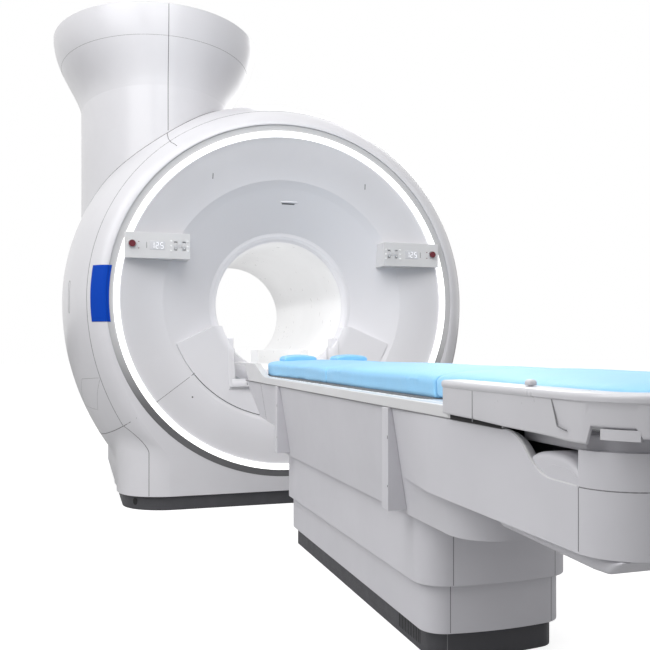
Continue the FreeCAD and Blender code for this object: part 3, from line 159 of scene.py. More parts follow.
class Nodes:
    """The node tree of a material or of the world, with one method that adds every node."""

    def __init__(self, tree: bpy.types.NodeTree) -> None:
        """Takes a tree as Blender starts it."""
        self.tree = tree

    def first(self, kind: str) -> bpy.types.Node:
        """The node of a kind that the tree has from the start."""
        return next(node for node in self.tree.nodes if node.type == kind)

    def node(self, kind: str, settings: dict[str, Any], values: dict[Any, Any]) -> bpy.types.Node:
        """Adds a node, sets it up, and then gives its sockets values or links.

        Args:
            kind: The node's type.
            settings: Its own properties, such as a Math node's operation.
            values: Its sockets by name or number, each a plain value, a Tone or an output socket.

        Returns:
            The new node.
        """
        made = self.tree.nodes.new(kind)
        for key, value in settings.items():
            setattr(made, key, value)
        for key, value in values.items():
            self.feed(made.inputs[key], value)
        return made

    def feed(self, socket: bpy.types.NodeSocket, value: Any) -> None:
        """Links a Tone or an output to a socket, or sets the socket's own value."""
        if isinstance(value, Tone):
            self.tree.links.new(value.socket, socket)
        elif isinstance(value, bpy.types.NodeSocket):
            self.tree.links.new(value, socket)
        else:
            socket.default_value = value

    def any_ray(self, kinds: Sequence[str]) -> bpy.types.NodeSocket:
        """1 for rays of any of the given kinds, such as "Is Camera Ray", else 0."""
        path = self.node("ShaderNodeLightPath", {}, {})
        result = path.outputs[kinds[0]]
        for kind in kinds[1:]:
            settings = {"operation": "ADD", "use_clamp": True}
            result = self.node("ShaderNodeMath", settings, {0: result, 1: path.outputs[kind]}).outputs[0]
        return result

    def finish(
        self, kind: str, factor: Any, first: bpy.types.NodeSocket, second: bpy.types.NodeSocket
    ) -> None:
        """Sends a mix of two shaders to the output.

        Args:
            kind: The output node's kind.
            factor: 0 for the first shader and 1 for the second.
            first: The first shader's output.
            second: The second shader's output.
        """
        mix = self.node("ShaderNodeMixShader", {}, {0: factor, 1: first, 2: second})
        self.feed(self.first(kind).inputs["Surface"], mix.outputs[0])


@dataclass(frozen=True)
class Cloud:
    """A cloudy noise: clouds per metre, finer layers, the layers' strength, and the stretch."""

    per_metre: float
    layers: float = 2.0
    strength: float = 0.5
    stretch: Direction = (1.0, 1.0, 1.0)


class Shader(Nodes):
    """One material and the nodes behind its Principled shader."""

    def __init__(self, name: str) -> None:
        """Starts a material that has no nodes but its shader and its output.

        Args:
            name: The material's name.
        """
        self.material = bpy.data.materials.new(name)
        self.material.use_nodes = True
        super().__init__(self.material.node_tree)
        self.body = self.first("BSDF_PRINCIPLED")

    def give(self, values: dict[str, Any]) -> None:
        """Feeds the Principled shader's sockets, each with a Tone, an output or a constant."""
        for name, value in values.items():
            self.feed(self.body.inputs[name], value)

    def place(self) -> bpy.types.NodeSocket:
        """The shaded point in metres in the model's frame."""
        return self.node("ShaderNodeTexCoord", {}, {}).outputs["Object"]

    def axes(self) -> tuple[Tone, Tone, Tone]:
        """The shaded point's x, y and z as three Tones."""
        split = self.node("ShaderNodeSeparateXYZ", {}, {"Vector": self.place()})
        return tuple(Tone(self, output) for output in split.outputs)

    def noise(self, cloud: Cloud) -> Tone:
        """Cloudy noise from 0 to 1.

        Args:
            cloud: How large, fine and stretched the clouds are.

        Returns:
            The noise.
        """
        mapped = {"Vector": self.place(), "Scale": cloud.stretch}
        spread = self.node("ShaderNodeMapping", {"vector_type": "POINT"}, mapped).outputs[0]
        values = {"Scale": cloud.per_metre, "Detail": cloud.layers, "Roughness": cloud.strength}
        return Tone(self, self.node("ShaderNodeTexNoise", {}, {"Vector": spread, **values}).outputs["Fac"])

    def cells(self, per_metre: float) -> Tone:
        """Distance to the nearest of scattered points."""
        values = {"Vector": self.place(), "Scale": per_metre}
        return Tone(self, self.node("ShaderNodeTexVoronoi", {"feature": "F1"}, values).outputs["Distance"])

    def blend(self, factor: Any, first: Any, second: Any) -> bpy.types.NodeSocket:
        """A colour between two others.

        Args:
            factor: 0 for the first and 1 for the second.
            first: A colour or an output that gives one.
            second: A colour or an output that gives one.

        Returns:
            The mixed colour's output.
        """
        ends = [(*end, 1) if isinstance(end, tuple) else end for end in (first, second)]
        made = self.node("ShaderNodeMix", {"data_type": "RGBA"}, {"Factor": factor, 6: ends[0], 7: ends[1]})
        return made.outputs[2]

    def relief(self, height: Tone, depth: float) -> None:
        """Feeds a bump of a real depth in metres to the shader's normal."""
        made = self.node("ShaderNodeBump", {}, {"Height": height, "Distance": depth, "Strength": 1.0})
        self.give({"Normal": made.outputs[0]})


# ---------------------------------------------------------------------------------------------
# Finishes
# ---------------------------------------------------------------------------------------------


@dataclass(frozen=True)
class Finish:
    """A finish's name, colour and gloss; the kinds of finish add what is their own."""

    name: str
    colour: Colour
    roughness: float = 0.4

    def shade(self, factor: float) -> Colour:
        """This finish's colour made darker or paler by a factor."""
        return tuple(min(1.0, c * factor) for c in self.colour)

    def between(self, shader: Shader, share: Any, shades: Pair) -> bpy.types.NodeSocket:
        """This finish's colour from its first shade, where the share is 0, to its second."""
        return shader.blend(share, self.shade(shades[0]), self.shade(shades[1]))

    def paint(self, shader: Shader) -> None:
        """Adds what this kind of finish has beyond its plain colour and gloss."""

    def make(self) -> bpy.types.Material:
        """Makes the material."""
        shader = Shader(self.name)
        shader.give({"Base Color": (*self.colour, 1), "Roughness": self.roughness})
        self.paint(shader)
        return shader.material


@dataclass(frozen=True)
class Moulded(Finish):
    """Painted or moulded plastic: orange peel, faint clouds of tone, and rubbed, dusty patches."""

    peel_per_metre: float = 420.0
    peel_depth: float = 0.00006
    peel_layers: float = 1.5
    coat: float = 0.0
    specular: float = 0.5
    coat_roughness: float = 0.18
    clouds: Cloud = Cloud(3.1, 4, 0.55)
    cloud_span: Pair = (0.35, 0.7)
    cloud_shades: Pair = (0.975, 1.015)
    rubbed: Cloud = Cloud(17.0, 5, 0.65)
    rubbed_change: float = 0.16

    def tone(self, shader: Shader) -> bpy.types.NodeSocket:
        """The colour, a little darker or paler in clouds."""
        return self.between(shader, shader.noise(self.clouds).ramp(*self.cloud_span), self.cloud_shades)

    def paint(self, shader: Shader) -> None:
        """Adds the clouds, the rubbed patches, the clear coat and the peel."""
        patches = shader.noise(self.rubbed) - 0.5
        shader.give(
            {
                "Base Color": self.tone(shader),
                "Roughness": patches * self.rubbed_change + self.roughness,
                "Specular IOR Level": self.specular,
                "Coat Weight": self.coat,
                "Coat Roughness": self.coat_roughness,
            }
        )
        shader.relief(shader.noise(Cloud(self.peel_per_metre, self.peel_layers)), self.peel_depth)


@dataclass(frozen=True)
class Grained(Finish):
    """Textured plastic with a leathery spark-eroded grain and scuffs near the floor."""

    grain_per_metre: float = 900.0
    grain_depth: float = 0.00018
    finer: float = 2.2
    finer_share: float = 0.5
    scuffs: Cloud = Cloud(60.0, 6, 0.7, (1, 1, 4))
    scuff_span: Pair = (0.56, 0.72)
    scuff_height: float = 0.05
    scuff_share: float = 0.5
    dust: Cloud = Cloud(9.0, 5, 0.6)
    dust_span: Pair = (0.45, 0.8)
    dust_share: float = 0.35
    dust_shade: float = 1.7
    wear: Cloud = Cloud(25.0, 3)
    wear_change: float = 0.2

    def paint(self, shader: Shader) -> None:
        """Adds the grain, the dust, and scuffs that fade out above the floor."""
        fine = shader.noise(Cloud(self.grain_per_metre * self.finer)) * self.finer_share
        low = 1 - shader.axes()[2].ramp(0.0, self.scuff_height)
        scuffs = shader.noise(self.scuffs).ramp(*self.scuff_span) * low
        dust = shader.noise(self.dust).ramp(*self.dust_span) * self.dust_share + scuffs * self.scuff_share
        wear = shader.noise(self.wear) * self.wear_change
        shader.give(
            {
                "Base Color": shader.blend(dust, self.colour, self.shade(self.dust_shade)),
                "Roughness": wear + (self.roughness - self.wear_change / 2),
            }
        )
        shader.relief(shader.cells(self.grain_per_metre) + fine, self.grain_depth)


@dataclass(frozen=True)
class Metal(Finish):
    """Machined or brushed metal, with fine scratches along one axis."""

    along: Direction = (1.0, 0.05, 1.0)
    scratches: Cloud = Cloud(700.0, 3, 0.6)
    scratch_depth: float = 0.00003
    scratch_change: float = 0.25
    polish: float = 0.12
    tarnish: Cloud = Cloud(8.0, 4)
    tarnish_span: Pair = (0.3, 0.75)
    tarnish_shades: Pair = (0.9, 1.05)

    def paint(self, shader: Shader) -> None:
        """Adds the scratches and a faint tarnish."""
        lines = shader.noise(replace(self.scratches, stretch=self.along))
        tarnish = shader.noise(self.tarnish).ramp(*self.tarnish_span)
        shader.give(
            {
                "Base Color": self.between(shader, tarnish, self.tarnish_shades),
                "Metallic": 1.0,
                "Roughness": lines * self.scratch_change + (self.roughness - self.polish),
            }
        )
        shader.relief(lines, self.scratch_depth)


@dataclass(frozen=True)
class CoatedCloth(Finish):
    """Wipe-clean coated fabric: a fine pebbled skin over a knit, and soft folds of tone."""

    pebble_per_metre: float = 1300.0
    pebble_share: float = 0.12
    folds: Cloud = Cloud(14.0, 3)
    depth: float = 0.0016
    handled: Cloud = Cloud(4.0, 4, 0.6)
    handled_span: Pair = (0.3, 0.75)
    handled_shades: Pair = (0.96, 1.03)
    handled_change: float = 0.16
    sheen: float = 0.15
    sheen_roughness: float = 0.4

    def paint(self, shader: Shader) -> None:
        """Adds the pebbles, the folds, the handled patches and the sheen."""
        handled = shader.noise(self.handled)
        shader.give(
            {
                "Base Color": self.between(shader, handled.ramp(*self.handled_span), self.handled_shades),
                "Roughness": handled * self.handled_change + (self.roughness - self.handled_change / 2),
                "Sheen Weight": self.sheen,
                "Sheen Roughness": self.sheen_roughness,
            }
        )
        pebbles = shader.cells(self.pebble_per_metre) * self.pebble_share
        shader.relief(pebbles + shader.noise(self.folds), self.depth)


@dataclass(frozen=True)
class Bezel(Finish):
    """Satin trim in its own pale gray, with painted shade that darkens it to charcoal round the ring's lower
    part.
    """

    # The colour of the painted shade round the lower part of the ring.
    dark: Colour = (0.12, 0.12, 0.125)
    full_shade_height: float = 0.50
    lit_height: float = 0.95
    drift: Cloud = Cloud(2.0, 3)
    drift_height: float = 0.05
    satin: Cloud = Cloud(20.0, 4)
    satin_change: float = 0.15
    satin_drop: float = 0.07
    peel: Cloud = Cloud(500.0, 2)
    peel_depth: float = 0.00005

    def paint(self, shader: Shader) -> None:
        """Adds painted shade that darkens the trim towards the bottom, and the satin surface."""
        height = shader.axes()[2] + shader.noise(self.drift) * self.drift_height
        satin = shader.noise(self.satin) * self.satin_change
        shader.give(
            {
                "Base Color": shader.blend(
                    height.ramp(self.full_shade_height, self.lit_height), self.dark, self.colour
                ),
                "Roughness": satin + (self.roughness - self.satin_drop),
            }
        )
        shader.relief(shader.noise(self.peel), self.peel_depth)


@dataclass(frozen=True)
class LitBore(Moulded):
    """The bore's gloss liner, with an even painted glow over its whole wall that stands in for the light
    inside the bore.
    """

    # The strength of the painted glow over the whole liner.
    glow: float = 0.2

    def paint(self, shader: Shader) -> None:
        """Adds the painted glow to the moulded surface."""
        super().paint(shader)
        shader.give({"Emission Color": (*WHITE, 1), "Emission Strength": self.glow})


@dataclass(frozen=True)
class DishFace(Moulded):
    """The dish's satin paint, paler in the funnel, and palest in the throat with a painted glow: painted
    light that stands in for the bore's light.
    """

    axis_height: float = 1.042
    throat: Pair = (0.350, 0.400)
    throat_painted_light: float = 1.24
    funnel: Pair = (0.58, 0.80)
    funnel_shade: float = 1.13
    # The strength of the painted glow in the throat; the dish itself is no lamp.
    glow: float = 0.07

    def near(self, shader: Shader, span: Pair) -> Tone:
        """1 near the bore's axis and 0 far from it, with a smooth step over a span of distances."""
        x, _, z = shader.axes()
        off = z - self.axis_height
        return 1 - ((x * x + off * off) ** 0.5).ramp(*span)

    def tone(self, shader: Shader) -> bpy.types.NodeSocket:
        """The clouded colour, paler in the funnel and palest in the throat, where the extra paleness is
        painted light from the bore.
        """
        funnel = self.near(shader, self.funnel)
        paler = shader.blend(funnel, super().tone(shader), self.shade(self.funnel_shade))
        return shader.blend(self.near(shader, self.throat), paler, self.shade(self.throat_painted_light))

    def paint(self, shader: Shader) -> None:
        """Adds a painted glow in the throat, which stands in for the bore's light, to the moulded surface."""
        super().paint(shader)
        lit = shader.blend(self.near(shader, self.throat), NO_LIGHT, WHITE)
        shader.give({"Emission Color": lit, "Emission Strength": self.glow})


@dataclass(frozen=True)
class Lit(Finish):
    """An opal diffuser that glows evenly."""

    glow: float = 1.0
    shimmer: Cloud = Cloud(30.0, 2)
    shimmer_span: Pair = (0.98, 1.02)
    dim_shade: float = 0.985
    peel: Cloud = Cloud(600.0, 1)
    peel_depth: float = 0.00002

    def paint(self, shader: Shader) -> None:
        """Adds the glow and its faint shimmer."""
        low, high = self.shimmer_span
        shimmer = shader.noise(self.shimmer) * (high - low) + low
        colour = shader.blend(shimmer.ramp(low, high), self.shade(self.dim_shade), self.colour)
        shader.give({"Emission Strength": self.glow, "Emission Color": colour})
        shader.relief(shader.noise(self.peel), self.peel_depth)


# ---------------------------------------------------------------------------------------------
# Surfaces worked out with numpy
# ---------------------------------------------------------------------------------------------


def unit(vectors: np.ndarray) -> np.ndarray:
    """Vectors of length 1 in the same directions."""
    return vectors / np.maximum(np.linalg.norm(vectors, axis=-1, keepdims=True), 1e-12)


def points(x: Any, y: Any, z: Any) -> np.ndarray:
    """Places from their three coordinates, each of them an array or one number for all."""
    return np.stack(np.broadcast_arrays(x, y, z), -1)


def at_height(loop: np.ndarray, z: Any) -> np.ndarray:
    """A flat loop of (x, y) points at a height, or with a height for each point."""
    return points(loop[:, 0], loop[:, 1], z)


def around(count: int) -> tuple[np.ndarray, np.ndarray]:
    """The cosine and sine of evenly spaced angles round a full circle."""
    turn = np.linspace(0, 2 * math.pi, count, endpoint=False)
    return np.cos(turn), np.sin(turn)


def grid_faces(rows: int, columns: int, wrap_rows: bool, wrap_columns: bool) -> np.ndarray:
    """The quads of a grid of points.

    Args:
        rows: How many rows of points there are.
        columns: How many points each row has.
        wrap_rows: Whether the last row joins the first.
        wrap_columns: Whether the last column joins the first.

    Returns:
        An array of four point numbers for each quad.
    """
    row, column = np.meshgrid(
        np.arange(rows if wrap_rows else rows - 1),
        np.arange(columns if wrap_columns else columns - 1),
        indexing="ij",
    )
    next_row, next_column = (row + 1) % rows, (column + 1) % columns
    quad = [
        row * columns + column,
        row * columns + next_column,
        next_row * columns + next_column,
        next_row * columns + column,
    ]
    return np.stack(quad, axis=-1).reshape(-1, 4)


def link(name: str, mesh: bpy.types.Mesh) -> bpy.types.Object:
    """A new object in the scene with this mesh."""
    made = bpy.data.objects.new(name, mesh)
    bpy.context.scene.collection.objects.link(made)
    return made


def thicken(made: bpy.types.Object, thickness: float) -> None:
    """Gives an open sheet a wall, half to each side."""
    wall = made.modifiers.new("wall", "SOLIDIFY")
    wall.thickness, wall.offset = thickness, 0.0


def roll_edges(made: bpy.types.Object, width: float, segments: int, degrees: float) -> None:
    """Rounds the edges that turn by more than an angle."""
    edge = made.modifiers.new("edge", "BEVEL")
    edge.width, edge.segments, edge.angle_limit = width, segments, math.radians(degrees)


def mesh_object(
    name: str, places: np.ndarray, faces: Sequence[Sequence[int]], merge: float = 1e-6, sharp: float = 38.0
) -> bpy.types.Object:
    """A smooth-shaded object with these points and faces, its normals turned outwards.

    Args:
        name: The object's name.
        places: An array of points, xyz last.
        faces: Each face as point numbers.
        merge: How near points are merged, in metres.
        sharp: The angle in degrees past which an edge stays sharp.

    Returns:
        The new object, at the origin.
    """
    mesh = bpy.data.meshes.new(name)
    mesh.from_pydata(places.reshape(-1, 3).tolist(), [], [list(map(int, face)) for face in faces])
    work = bmesh.new()
    work.from_mesh(mesh)
    bmesh.ops.remove_doubles(work, verts=work.verts, dist=merge)
    bmesh.ops.dissolve_degenerate(work, edges=work.edges, dist=merge)
    bmesh.ops.recalc_face_normals(work, faces=work.faces)
    work.to_mesh(mesh)
    work.free()
    mesh.shade_smooth()
    mesh.set_sharp_from_angle(angle=math.radians(sharp))
    return link(name, mesh)


def closed_tube(name: str, rings: np.ndarray) -> bpy.types.Object:
    """A closed skin through rings of points, with a flat cap at each end.

    Args:
        name: The object's name.
        rings: Points as (ring, point on the ring, xyz).

    Returns:
        The new object.
    """
    count, per_ring = rings.shape[:2]
    faces = grid_faces(count, per_ring, False, True).tolist()
    faces.append(list(range(per_ring))[::-1])
    faces.append([(count - 1) * per_ring + i for i in range(per_ring)])
    return mesh_object(name, rings, faces)


def sweep(path: np.ndarray, profile: np.ndarray, outward: np.ndarray, closed: bool = False) -> np.ndarray:
    """Carries a flat profile along a path.

    Each profile point (a, b) becomes path + a * outward + b * side, where outward is the given
    direction made square to the path, and side is square to both.

    Args:
        path: Places along the path, one row each.
        profile: Points of the profile as (outward, sideways) in metres.
        outward: A direction away from the surface for each place.
        closed: Whether the path returns to its start.

    Returns:
        Rings of points as (place, profile point, xyz).
    """
    if closed:
        ahead = np.roll(path, -1, 0) - np.roll(path, 1, 0)
    else:
        ahead = np.gradient(path, axis=0)
    tangent = unit(ahead)
    out = unit(outward - (outward * tangent).sum(-1, keepdims=True) * tangent)
    side = np.cross(tangent, out)
    return path[:, None] + profile[None, :, :1] * out[:, None] + profile[None, :, 1:] * side[:, None]


def bead(
    name: str,
    path: np.ndarray,
    outward: Any,
    radius: float,
    sunk: float,
    closed: bool = False,
    sides: int = 8,
) -> bpy.types.Object:
    """A thin round bead of sealant along a seam, most of it sunk in the surface.

    Args:
        name: The object's name.
        path: Places on the surface, one row each.
        outward: The surface's outward direction at each place, or one for all.
        radius: The bead's radius.
        sunk: How far its middle lies under the surface.
        closed: Whether the seam returns to its start.
        sides: How many sides the bead's section has.

    Returns:
        The new object.
    """
    cosine, sine = around(sides)
    profile = np.stack([radius * cosine - sunk, radius * sine], -1)
    rings = sweep(path, profile, np.broadcast_to(outward, path.shape), closed)
    if closed:
        return mesh_object(name, rings, grid_faces(len(rings), sides, True, True))
    return closed_tube(name, rings)


def line(start: Sequence[float], end: Sequence[float], count: int = 12) -> np.ndarray:
    """Evenly spaced places on a straight line."""
    share = np.linspace(0, 1, count)[:, None]
    return np.asarray(start) * (1 - share) + np.asarray(end) * share


def rounded_rectangle(width: float, height: float, corner: float, per_corner: int = 6) -> np.ndarray:
    """A rectangle about the origin with quarter-circle corners, as (x, y) points."""
    turn = np.linspace(0, math.pi / 2, per_corner)
    quarters = []
    for quarter, (sx, sy) in enumerate(((1, 1), (-1, 1), (-1, -1), (1, -1))):
        angle = turn + quarter * math.pi / 2
        centre = np.array([sx * (width / 2 - corner), sy * (height / 2 - corner)])
        quarters.append(centre + corner * np.stack([np.cos(angle), np.sin(angle)], -1))
    return np.concatenate(quarters)


BUTTON_ROOT = 0.0008
BUTTON_EDGE_SHARE = 0.25
BUTTON_DOME = ((0.7, 0.5), (0.35, 0.85), (0.02, 1.0))


def button(
    name: str,
    outline: np.ndarray,
    place: Sequence[float],
    normal: Sequence[float],
    up: Sequence[float],
    proud: float,
    crown: float = 0.3,
) -> bpy.types.Object:
    """A low cap with a rounded edge, standing on a surface.

    The foot lies a little under the surface. The side rises to proud less the edge's radius, the
    edge is drawn in along a quarter circle, by radius * (1 - cos t) at radius * sin t, and a dome
    closes it: its rings have shares of the drawn outline and of the crown.

    Args:
        name: The object's name.
        outline: Points round the cap as (right, up) in metres.
        place: The middle of its foot.
        normal: The way it points.
        up: The way its top edge points.
        proud: How far it stands out.
        crown: How much of proud the dome adds in the middle.

    Returns:
        The new object.
    """
    out = unit(np.asarray(normal, float))
    high = unit(np.asarray(up, float) - np.dot(up, out) * out)
    right = np.cross(high, out)
    edge = min(proud, np.ptp(outline, axis=0).min() * BUTTON_EDGE_SHARE)
    half = np.abs(outline).max(0)
    turn = np.linspace(0, math.pi / 2, 5)
    levels = [(0.0, -BUTTON_ROOT)]
    levels += [(edge * (1 - math.cos(t)), (proud - edge) + edge * math.sin(t)) for t in turn]
    stack = [(outline * (1 - inwards / half), level) for inwards, level in levels]
    top = outline * (1 - edge / half)
    stack += [(top * share, proud * (1 + crown * lift)) for share, lift in BUTTON_DOME]
    rings = [
        np.asarray(place) + drawn[:, :1] * right + drawn[:, 1:] * high + level * out for drawn, level in stack
    ]
    return closed_tube(name, np.stack(rings))


class Body(Enum):
    """The bodies that pieces ride on."""

    SCANNER = "scanner"
    TABLE = "table_body"
    COLUMN = "column_middle"
    LOWER_SHROUD = "lower_shroud"
    UPPER_SHROUD = "upper_shroud"
    CARRIAGE = "carriage"
    TABLETOP = "tabletop"
    RELEASE_KNOB = "release_knob"
    STOP_LEFT = "stop_button_left"
    STOP_RIGHT = "stop_button_right"
    ROCKER_INNER_LEFT = "rocker_inner_left"
    ROCKER_INNER_RIGHT = "rocker_inner_right"
    ROCKER_OUTER_LEFT = "rocker_outer_left"
    ROCKER_OUTER_RIGHT = "rocker_outer_right"
    KEY_LEFT = "key_enable_left"
    KEY_RIGHT = "key_enable_right"


class Probe:
    """Finds places on packed covers by casting rays at them."""

    def __init__(self, frame: dict[str, Any], nodes: Sequence[str]) -> None:
        """Reads the covers' triangles.

        Args:
            frame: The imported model.
            nodes: The covers that rays may hit.
        """
        places, faces, count = [], [], 0
        for node in nodes:
            mesh = frame["nodes"][node].data
            mesh.calc_loop_triangles()
            corner = np.empty(len(mesh.loop_triangles) * 3, dtype=int)
            mesh.loop_triangles.foreach_get("vertices", corner)
            faces.append(corner.reshape(-1, 3) + count)
            places.append(mesh_places(mesh))
            count += len(places[-1])
        self.tree = BVHTree.FromPolygons(np.concatenate(places).tolist(), np.concatenate(faces).tolist())

    def cast(self, starts: np.ndarray, directions: Any) -> Laid:
        """Where rays first meet the covers.

        Args:
            starts: The rays' starts, one row each.
            directions: Their directions, one row each or one for all.

        Returns:
            Places and outward normals. A ray that misses takes its values from its neighbours.
        """
        directions = np.broadcast_to(np.asarray(directions, float), starts.shape)
        rays = zip(starts.tolist(), directions.tolist())
        hits = [self.tree.ray_cast(Vector(start), Vector(way)) for start, way in rays]
        met = np.array([hit[0] is not None for hit in hits])
        places = np.array([hit[0] if hit[0] else NOWHERE for hit in hits], float)
        normals = np.array([hit[1] if hit[0] else NOWHERE for hit in hits], float)
        normals *= -np.sign((normals * directions).sum(-1, keepdims=True) + 1e-9)
        return self.filled(places, met), unit(self.filled(normals, met))

    @staticmethod
    def filled(values: np.ndarray, met: np.ndarray) -> np.ndarray:
        """The rows where a ray met a cover, with the rows between read off a line through them."""
        order = np.arange(len(values))
        return np.stack([np.interp(order, order[met], column[met]) for column in values.T], -1)

    def spot(self, start: Sequence[float], direction: Sequence[float]) -> Laid:
        """Where one ray meets the covers, and the outward normal there."""
        place, normal = self.cast(np.array([start], float), direction)
        return place[0], normal[0]

    def lay(self, starts: np.ndarray, directions: Any, across: Any, reach: float = 0.006) -> Laid:
        """A line laid over the covers, which bridges the gap between two of them.

        Two rays are cast for each place, one on each side of the line, and their hits are averaged.

        Args:
            starts: Places outside the covers, one row each.
            directions: The way from there to the covers, one row each or one for all.
            across: The direction across the line, one row each or one for all.
            reach: How far to each side the rays start.

        Returns:
            Places on the line, and the covers' outward normals there.
        """
        sides = [self.cast(starts + side * reach * np.asarray(across, float), directions) for side in Side]
        return (sides[0][0] + sides[1][0]) / 2, unit(sides[0][1] + sides[1][1])


def mesh_places(mesh: bpy.types.Mesh) -> np.ndarray:
    """A mesh's points, one row each."""
    place = np.empty(len(mesh.vertices) * 3)
    mesh.vertices.foreach_get("co", place)
    return place.reshape(-1, 3)


# ---------------------------------------------------------------------------------------------
# The photograph's camera, the floor and the lights
# ---------------------------------------------------------------------------------------------


@dataclass(frozen=True)
class Eye:
    """The camera as fitted to the photograph, in metres and degrees."""

    place: Triple = (-1.0659, -5.3939, 0.8159)
    turn: Triple = (90.0, 0.0, -19.1)
    lens: float = 48.18
    sensor: float = 36.0
    shift: Pair = (-0.0772, 0.0348)

    def make(self) -> bpy.types.Object:
        """Makes the camera and gives it to the scene."""
        data = bpy.data.cameras.new("photo_camera")
        data.lens, data.sensor_width = self.lens, self.sensor
        data.shift_x, data.shift_y = self.shift
        camera = bpy.data.objects.new("photo_camera", data)
        camera.location = self.place
        camera.rotation_euler = [math.radians(angle) for angle in self.turn]
        bpy.context.scene.collection.objects.link(camera)
        bpy.context.scene.camera = camera
        return camera


@dataclass(frozen=True)
class Lamp:
    """A soft rectangular studio lamp that hangs at a place and looks at another."""

    name: str
    place: Triple
    aim: Triple
    width: float
    watts: float

    def make(self) -> None:
        """Hangs the lamp."""
        data = bpy.data.lights.new(self.name, "AREA")
        data.shape, data.size, data.energy = "SQUARE", self.width, self.watts
        lamp = bpy.data.objects.new(self.name, data)
        lamp.location = self.place
        away = np.subtract(self.place, self.aim)
        flat = math.hypot(away[0], away[1])
        lamp.rotation_euler = (math.atan2(flat, away[2]), 0, math.atan2(away[0], -away[1]))
        bpy.context.scene.collection.objects.link(lamp)


@dataclass
class Studio:
    """A white floor without an edge, a pale world and soft lamps."""

    floor_half: float = 40.0
    floor_tone: float = 0.50
    floor_roughness: float = 0.9
    floor_lift: float = 0.76
    world_strength: float = 0.45
    lamps: tuple[Lamp, ...] = (
        Lamp("key_lamp", (-5.0, -3.6, 5.0), (0.0, -0.8, 1.0), 5.0, 236.0),
        Lamp("dish_lamp", (-0.6, -3.4, 3.8), (0.0, -0.95, 1.1), 2.6, 64.0),
        Lamp("fill_lamp", (5.0, -5.0, 3.5), (0.0, -1.0, 1.0), 5.0, 42.0),
        Lamp("rear_lamp", (2.5, 6.0, 5.0), (0.0, 0.5, 1.0), 5.0, 180.0),
    )

    def sky(self) -> None:
        """A white world, which lights the scene less than it shows to the camera and to mirrors."""
        world = bpy.data.worlds.new("studio")
        bpy.context.scene.world = world
        world.use_nodes = True
        nodes = Nodes(world.node_tree)
        light = nodes.first("BACKGROUND")
        nodes.feed(light.inputs["Color"], (*WHITE, 1))
        nodes.feed(light.inputs["Strength"], self.world_strength)
        shown = nodes.node("ShaderNodeBackground", {}, {"Color": (*WHITE, 1)})
        seen = nodes.any_ray(("Is Camera Ray", "Is Glossy Ray", "Is Transmission Ray"))
        nodes.finish("OUTPUT_WORLD", seen, light.outputs[0], shown.outputs[0])

    def floor(self) -> None:
        """The floor, to which the camera sees plain white added, so that only shadows stay grey."""
        half = self.floor_half
        mesh = bpy.data.meshes.new("studio_floor")
        sheet = [(-half, -half, 0), (half, -half, 0), (half, half, 0), (-half, half, 0)]
        mesh.from_pydata(sheet, [], [(0, 1, 2, 3)])
        floor = link("studio_floor", mesh)
        shader = Shader("studio_floor_white")
        tone = (self.floor_tone, self.floor_tone, self.floor_tone, 1)
        shader.give({"Base Color": tone, "Roughness": self.floor_roughness})
        glow = shader.node("ShaderNodeEmission", {}, {"Strength": self.floor_lift})
        lifted = shader.node("ShaderNodeAddShader", {}, {0: shader.body.outputs[0], 1: glow.outputs[0]})
        seen = shader.any_ray(("Is Camera Ray",))
        shader.finish("OUTPUT_MATERIAL", seen, shader.body.outputs[0], lifted.outputs[0])
        mesh.materials.append(shader.material)

    def make(self) -> None:
        """Makes the world, the floor and the lamps."""
        bpy.context.scene.view_settings.view_transform = "Standard"
        self.sky()
        self.floor()
        for lamp in self.lamps:
            lamp.make()


# ---------------------------------------------------------------------------------------------
# The finishes
# ---------------------------------------------------------------------------------------------

SHELL = Moulded("shell_white", (0.655, 0.65, 0.678), 0.34, coat=0.25)
DISH = DishFace("dish_satin", (0.64, 0.635, 0.660), 0.42, coat=0.1)
PANEL = Moulded("panel_satin", (0.64, 0.64, 0.65), 0.38)
TABLE = Moulded("table_gray_satin", (0.602, 0.597, 0.632), 0.42)
RAIL = Moulded("rail_gloss", (0.68, 0.68, 0.69), 0.32, coat=0.2)
TOP = Moulded("tabletop_gloss", (0.80, 0.81, 0.82), 0.28, coat=0.2)
TUB = Moulded("tub_gloss", (0.60, 0.595, 0.625), 0.3, coat=0.3)
LINER = LitBore("liner_gloss", (0.80, 0.80, 0.805), 0.3, peel_depth=0.000008, coat=0.3, glow=0.22)
BEZEL = Bezel("bezel_gray", (0.50, 0.50, 0.51), 0.4)
GLOW = Lit("ring_diffuser", (1.0, 1.0, 1.0), 0.3, glow=1.1)
PLINTH = Grained("plinth_charcoal", (0.055, 0.055, 0.062), 0.5)
BADGE = Moulded("badge_blue", (0.0004, 0.052, 0.42), 0.55, specular=0.12)
STEEL = Metal("vessel_brushed", (0.62, 0.63, 0.64), 0.38)
RESIN = Moulded("coil_resin", (0.52, 0.51, 0.48), 0.5)
FRAME = Moulded("frame_powder_coat", (0.22, 0.23, 0.25), 0.55)
ALU = Metal("column_anodised", (0.66, 0.67, 0.69), 0.42, (0.05, 0.05, 1.0))
CLOTH = CoatedCloth("mattress_coated_cloth", (0.305, 0.65, 0.96), 0.5)
RED = Moulded("stop_red", (0.12, 0.002, 0.012), 0.4)
KEY = Moulded("key_gray", (0.56, 0.56, 0.575), 0.45)
DUCT = Moulded("duct_gray", (0.30, 0.30, 0.32), 0.55)
SEAM = Moulded("table_seam_gray", (0.20, 0.20, 0.21), 0.7)
# Dark gray of the seams and fasteners, and of the painted shade in slots and under the mattress.
DARK_SEAM_AND_SHADE = Moulded("seam_and_painted_shade_gray", (0.12, 0.12, 0.125), 0.7)
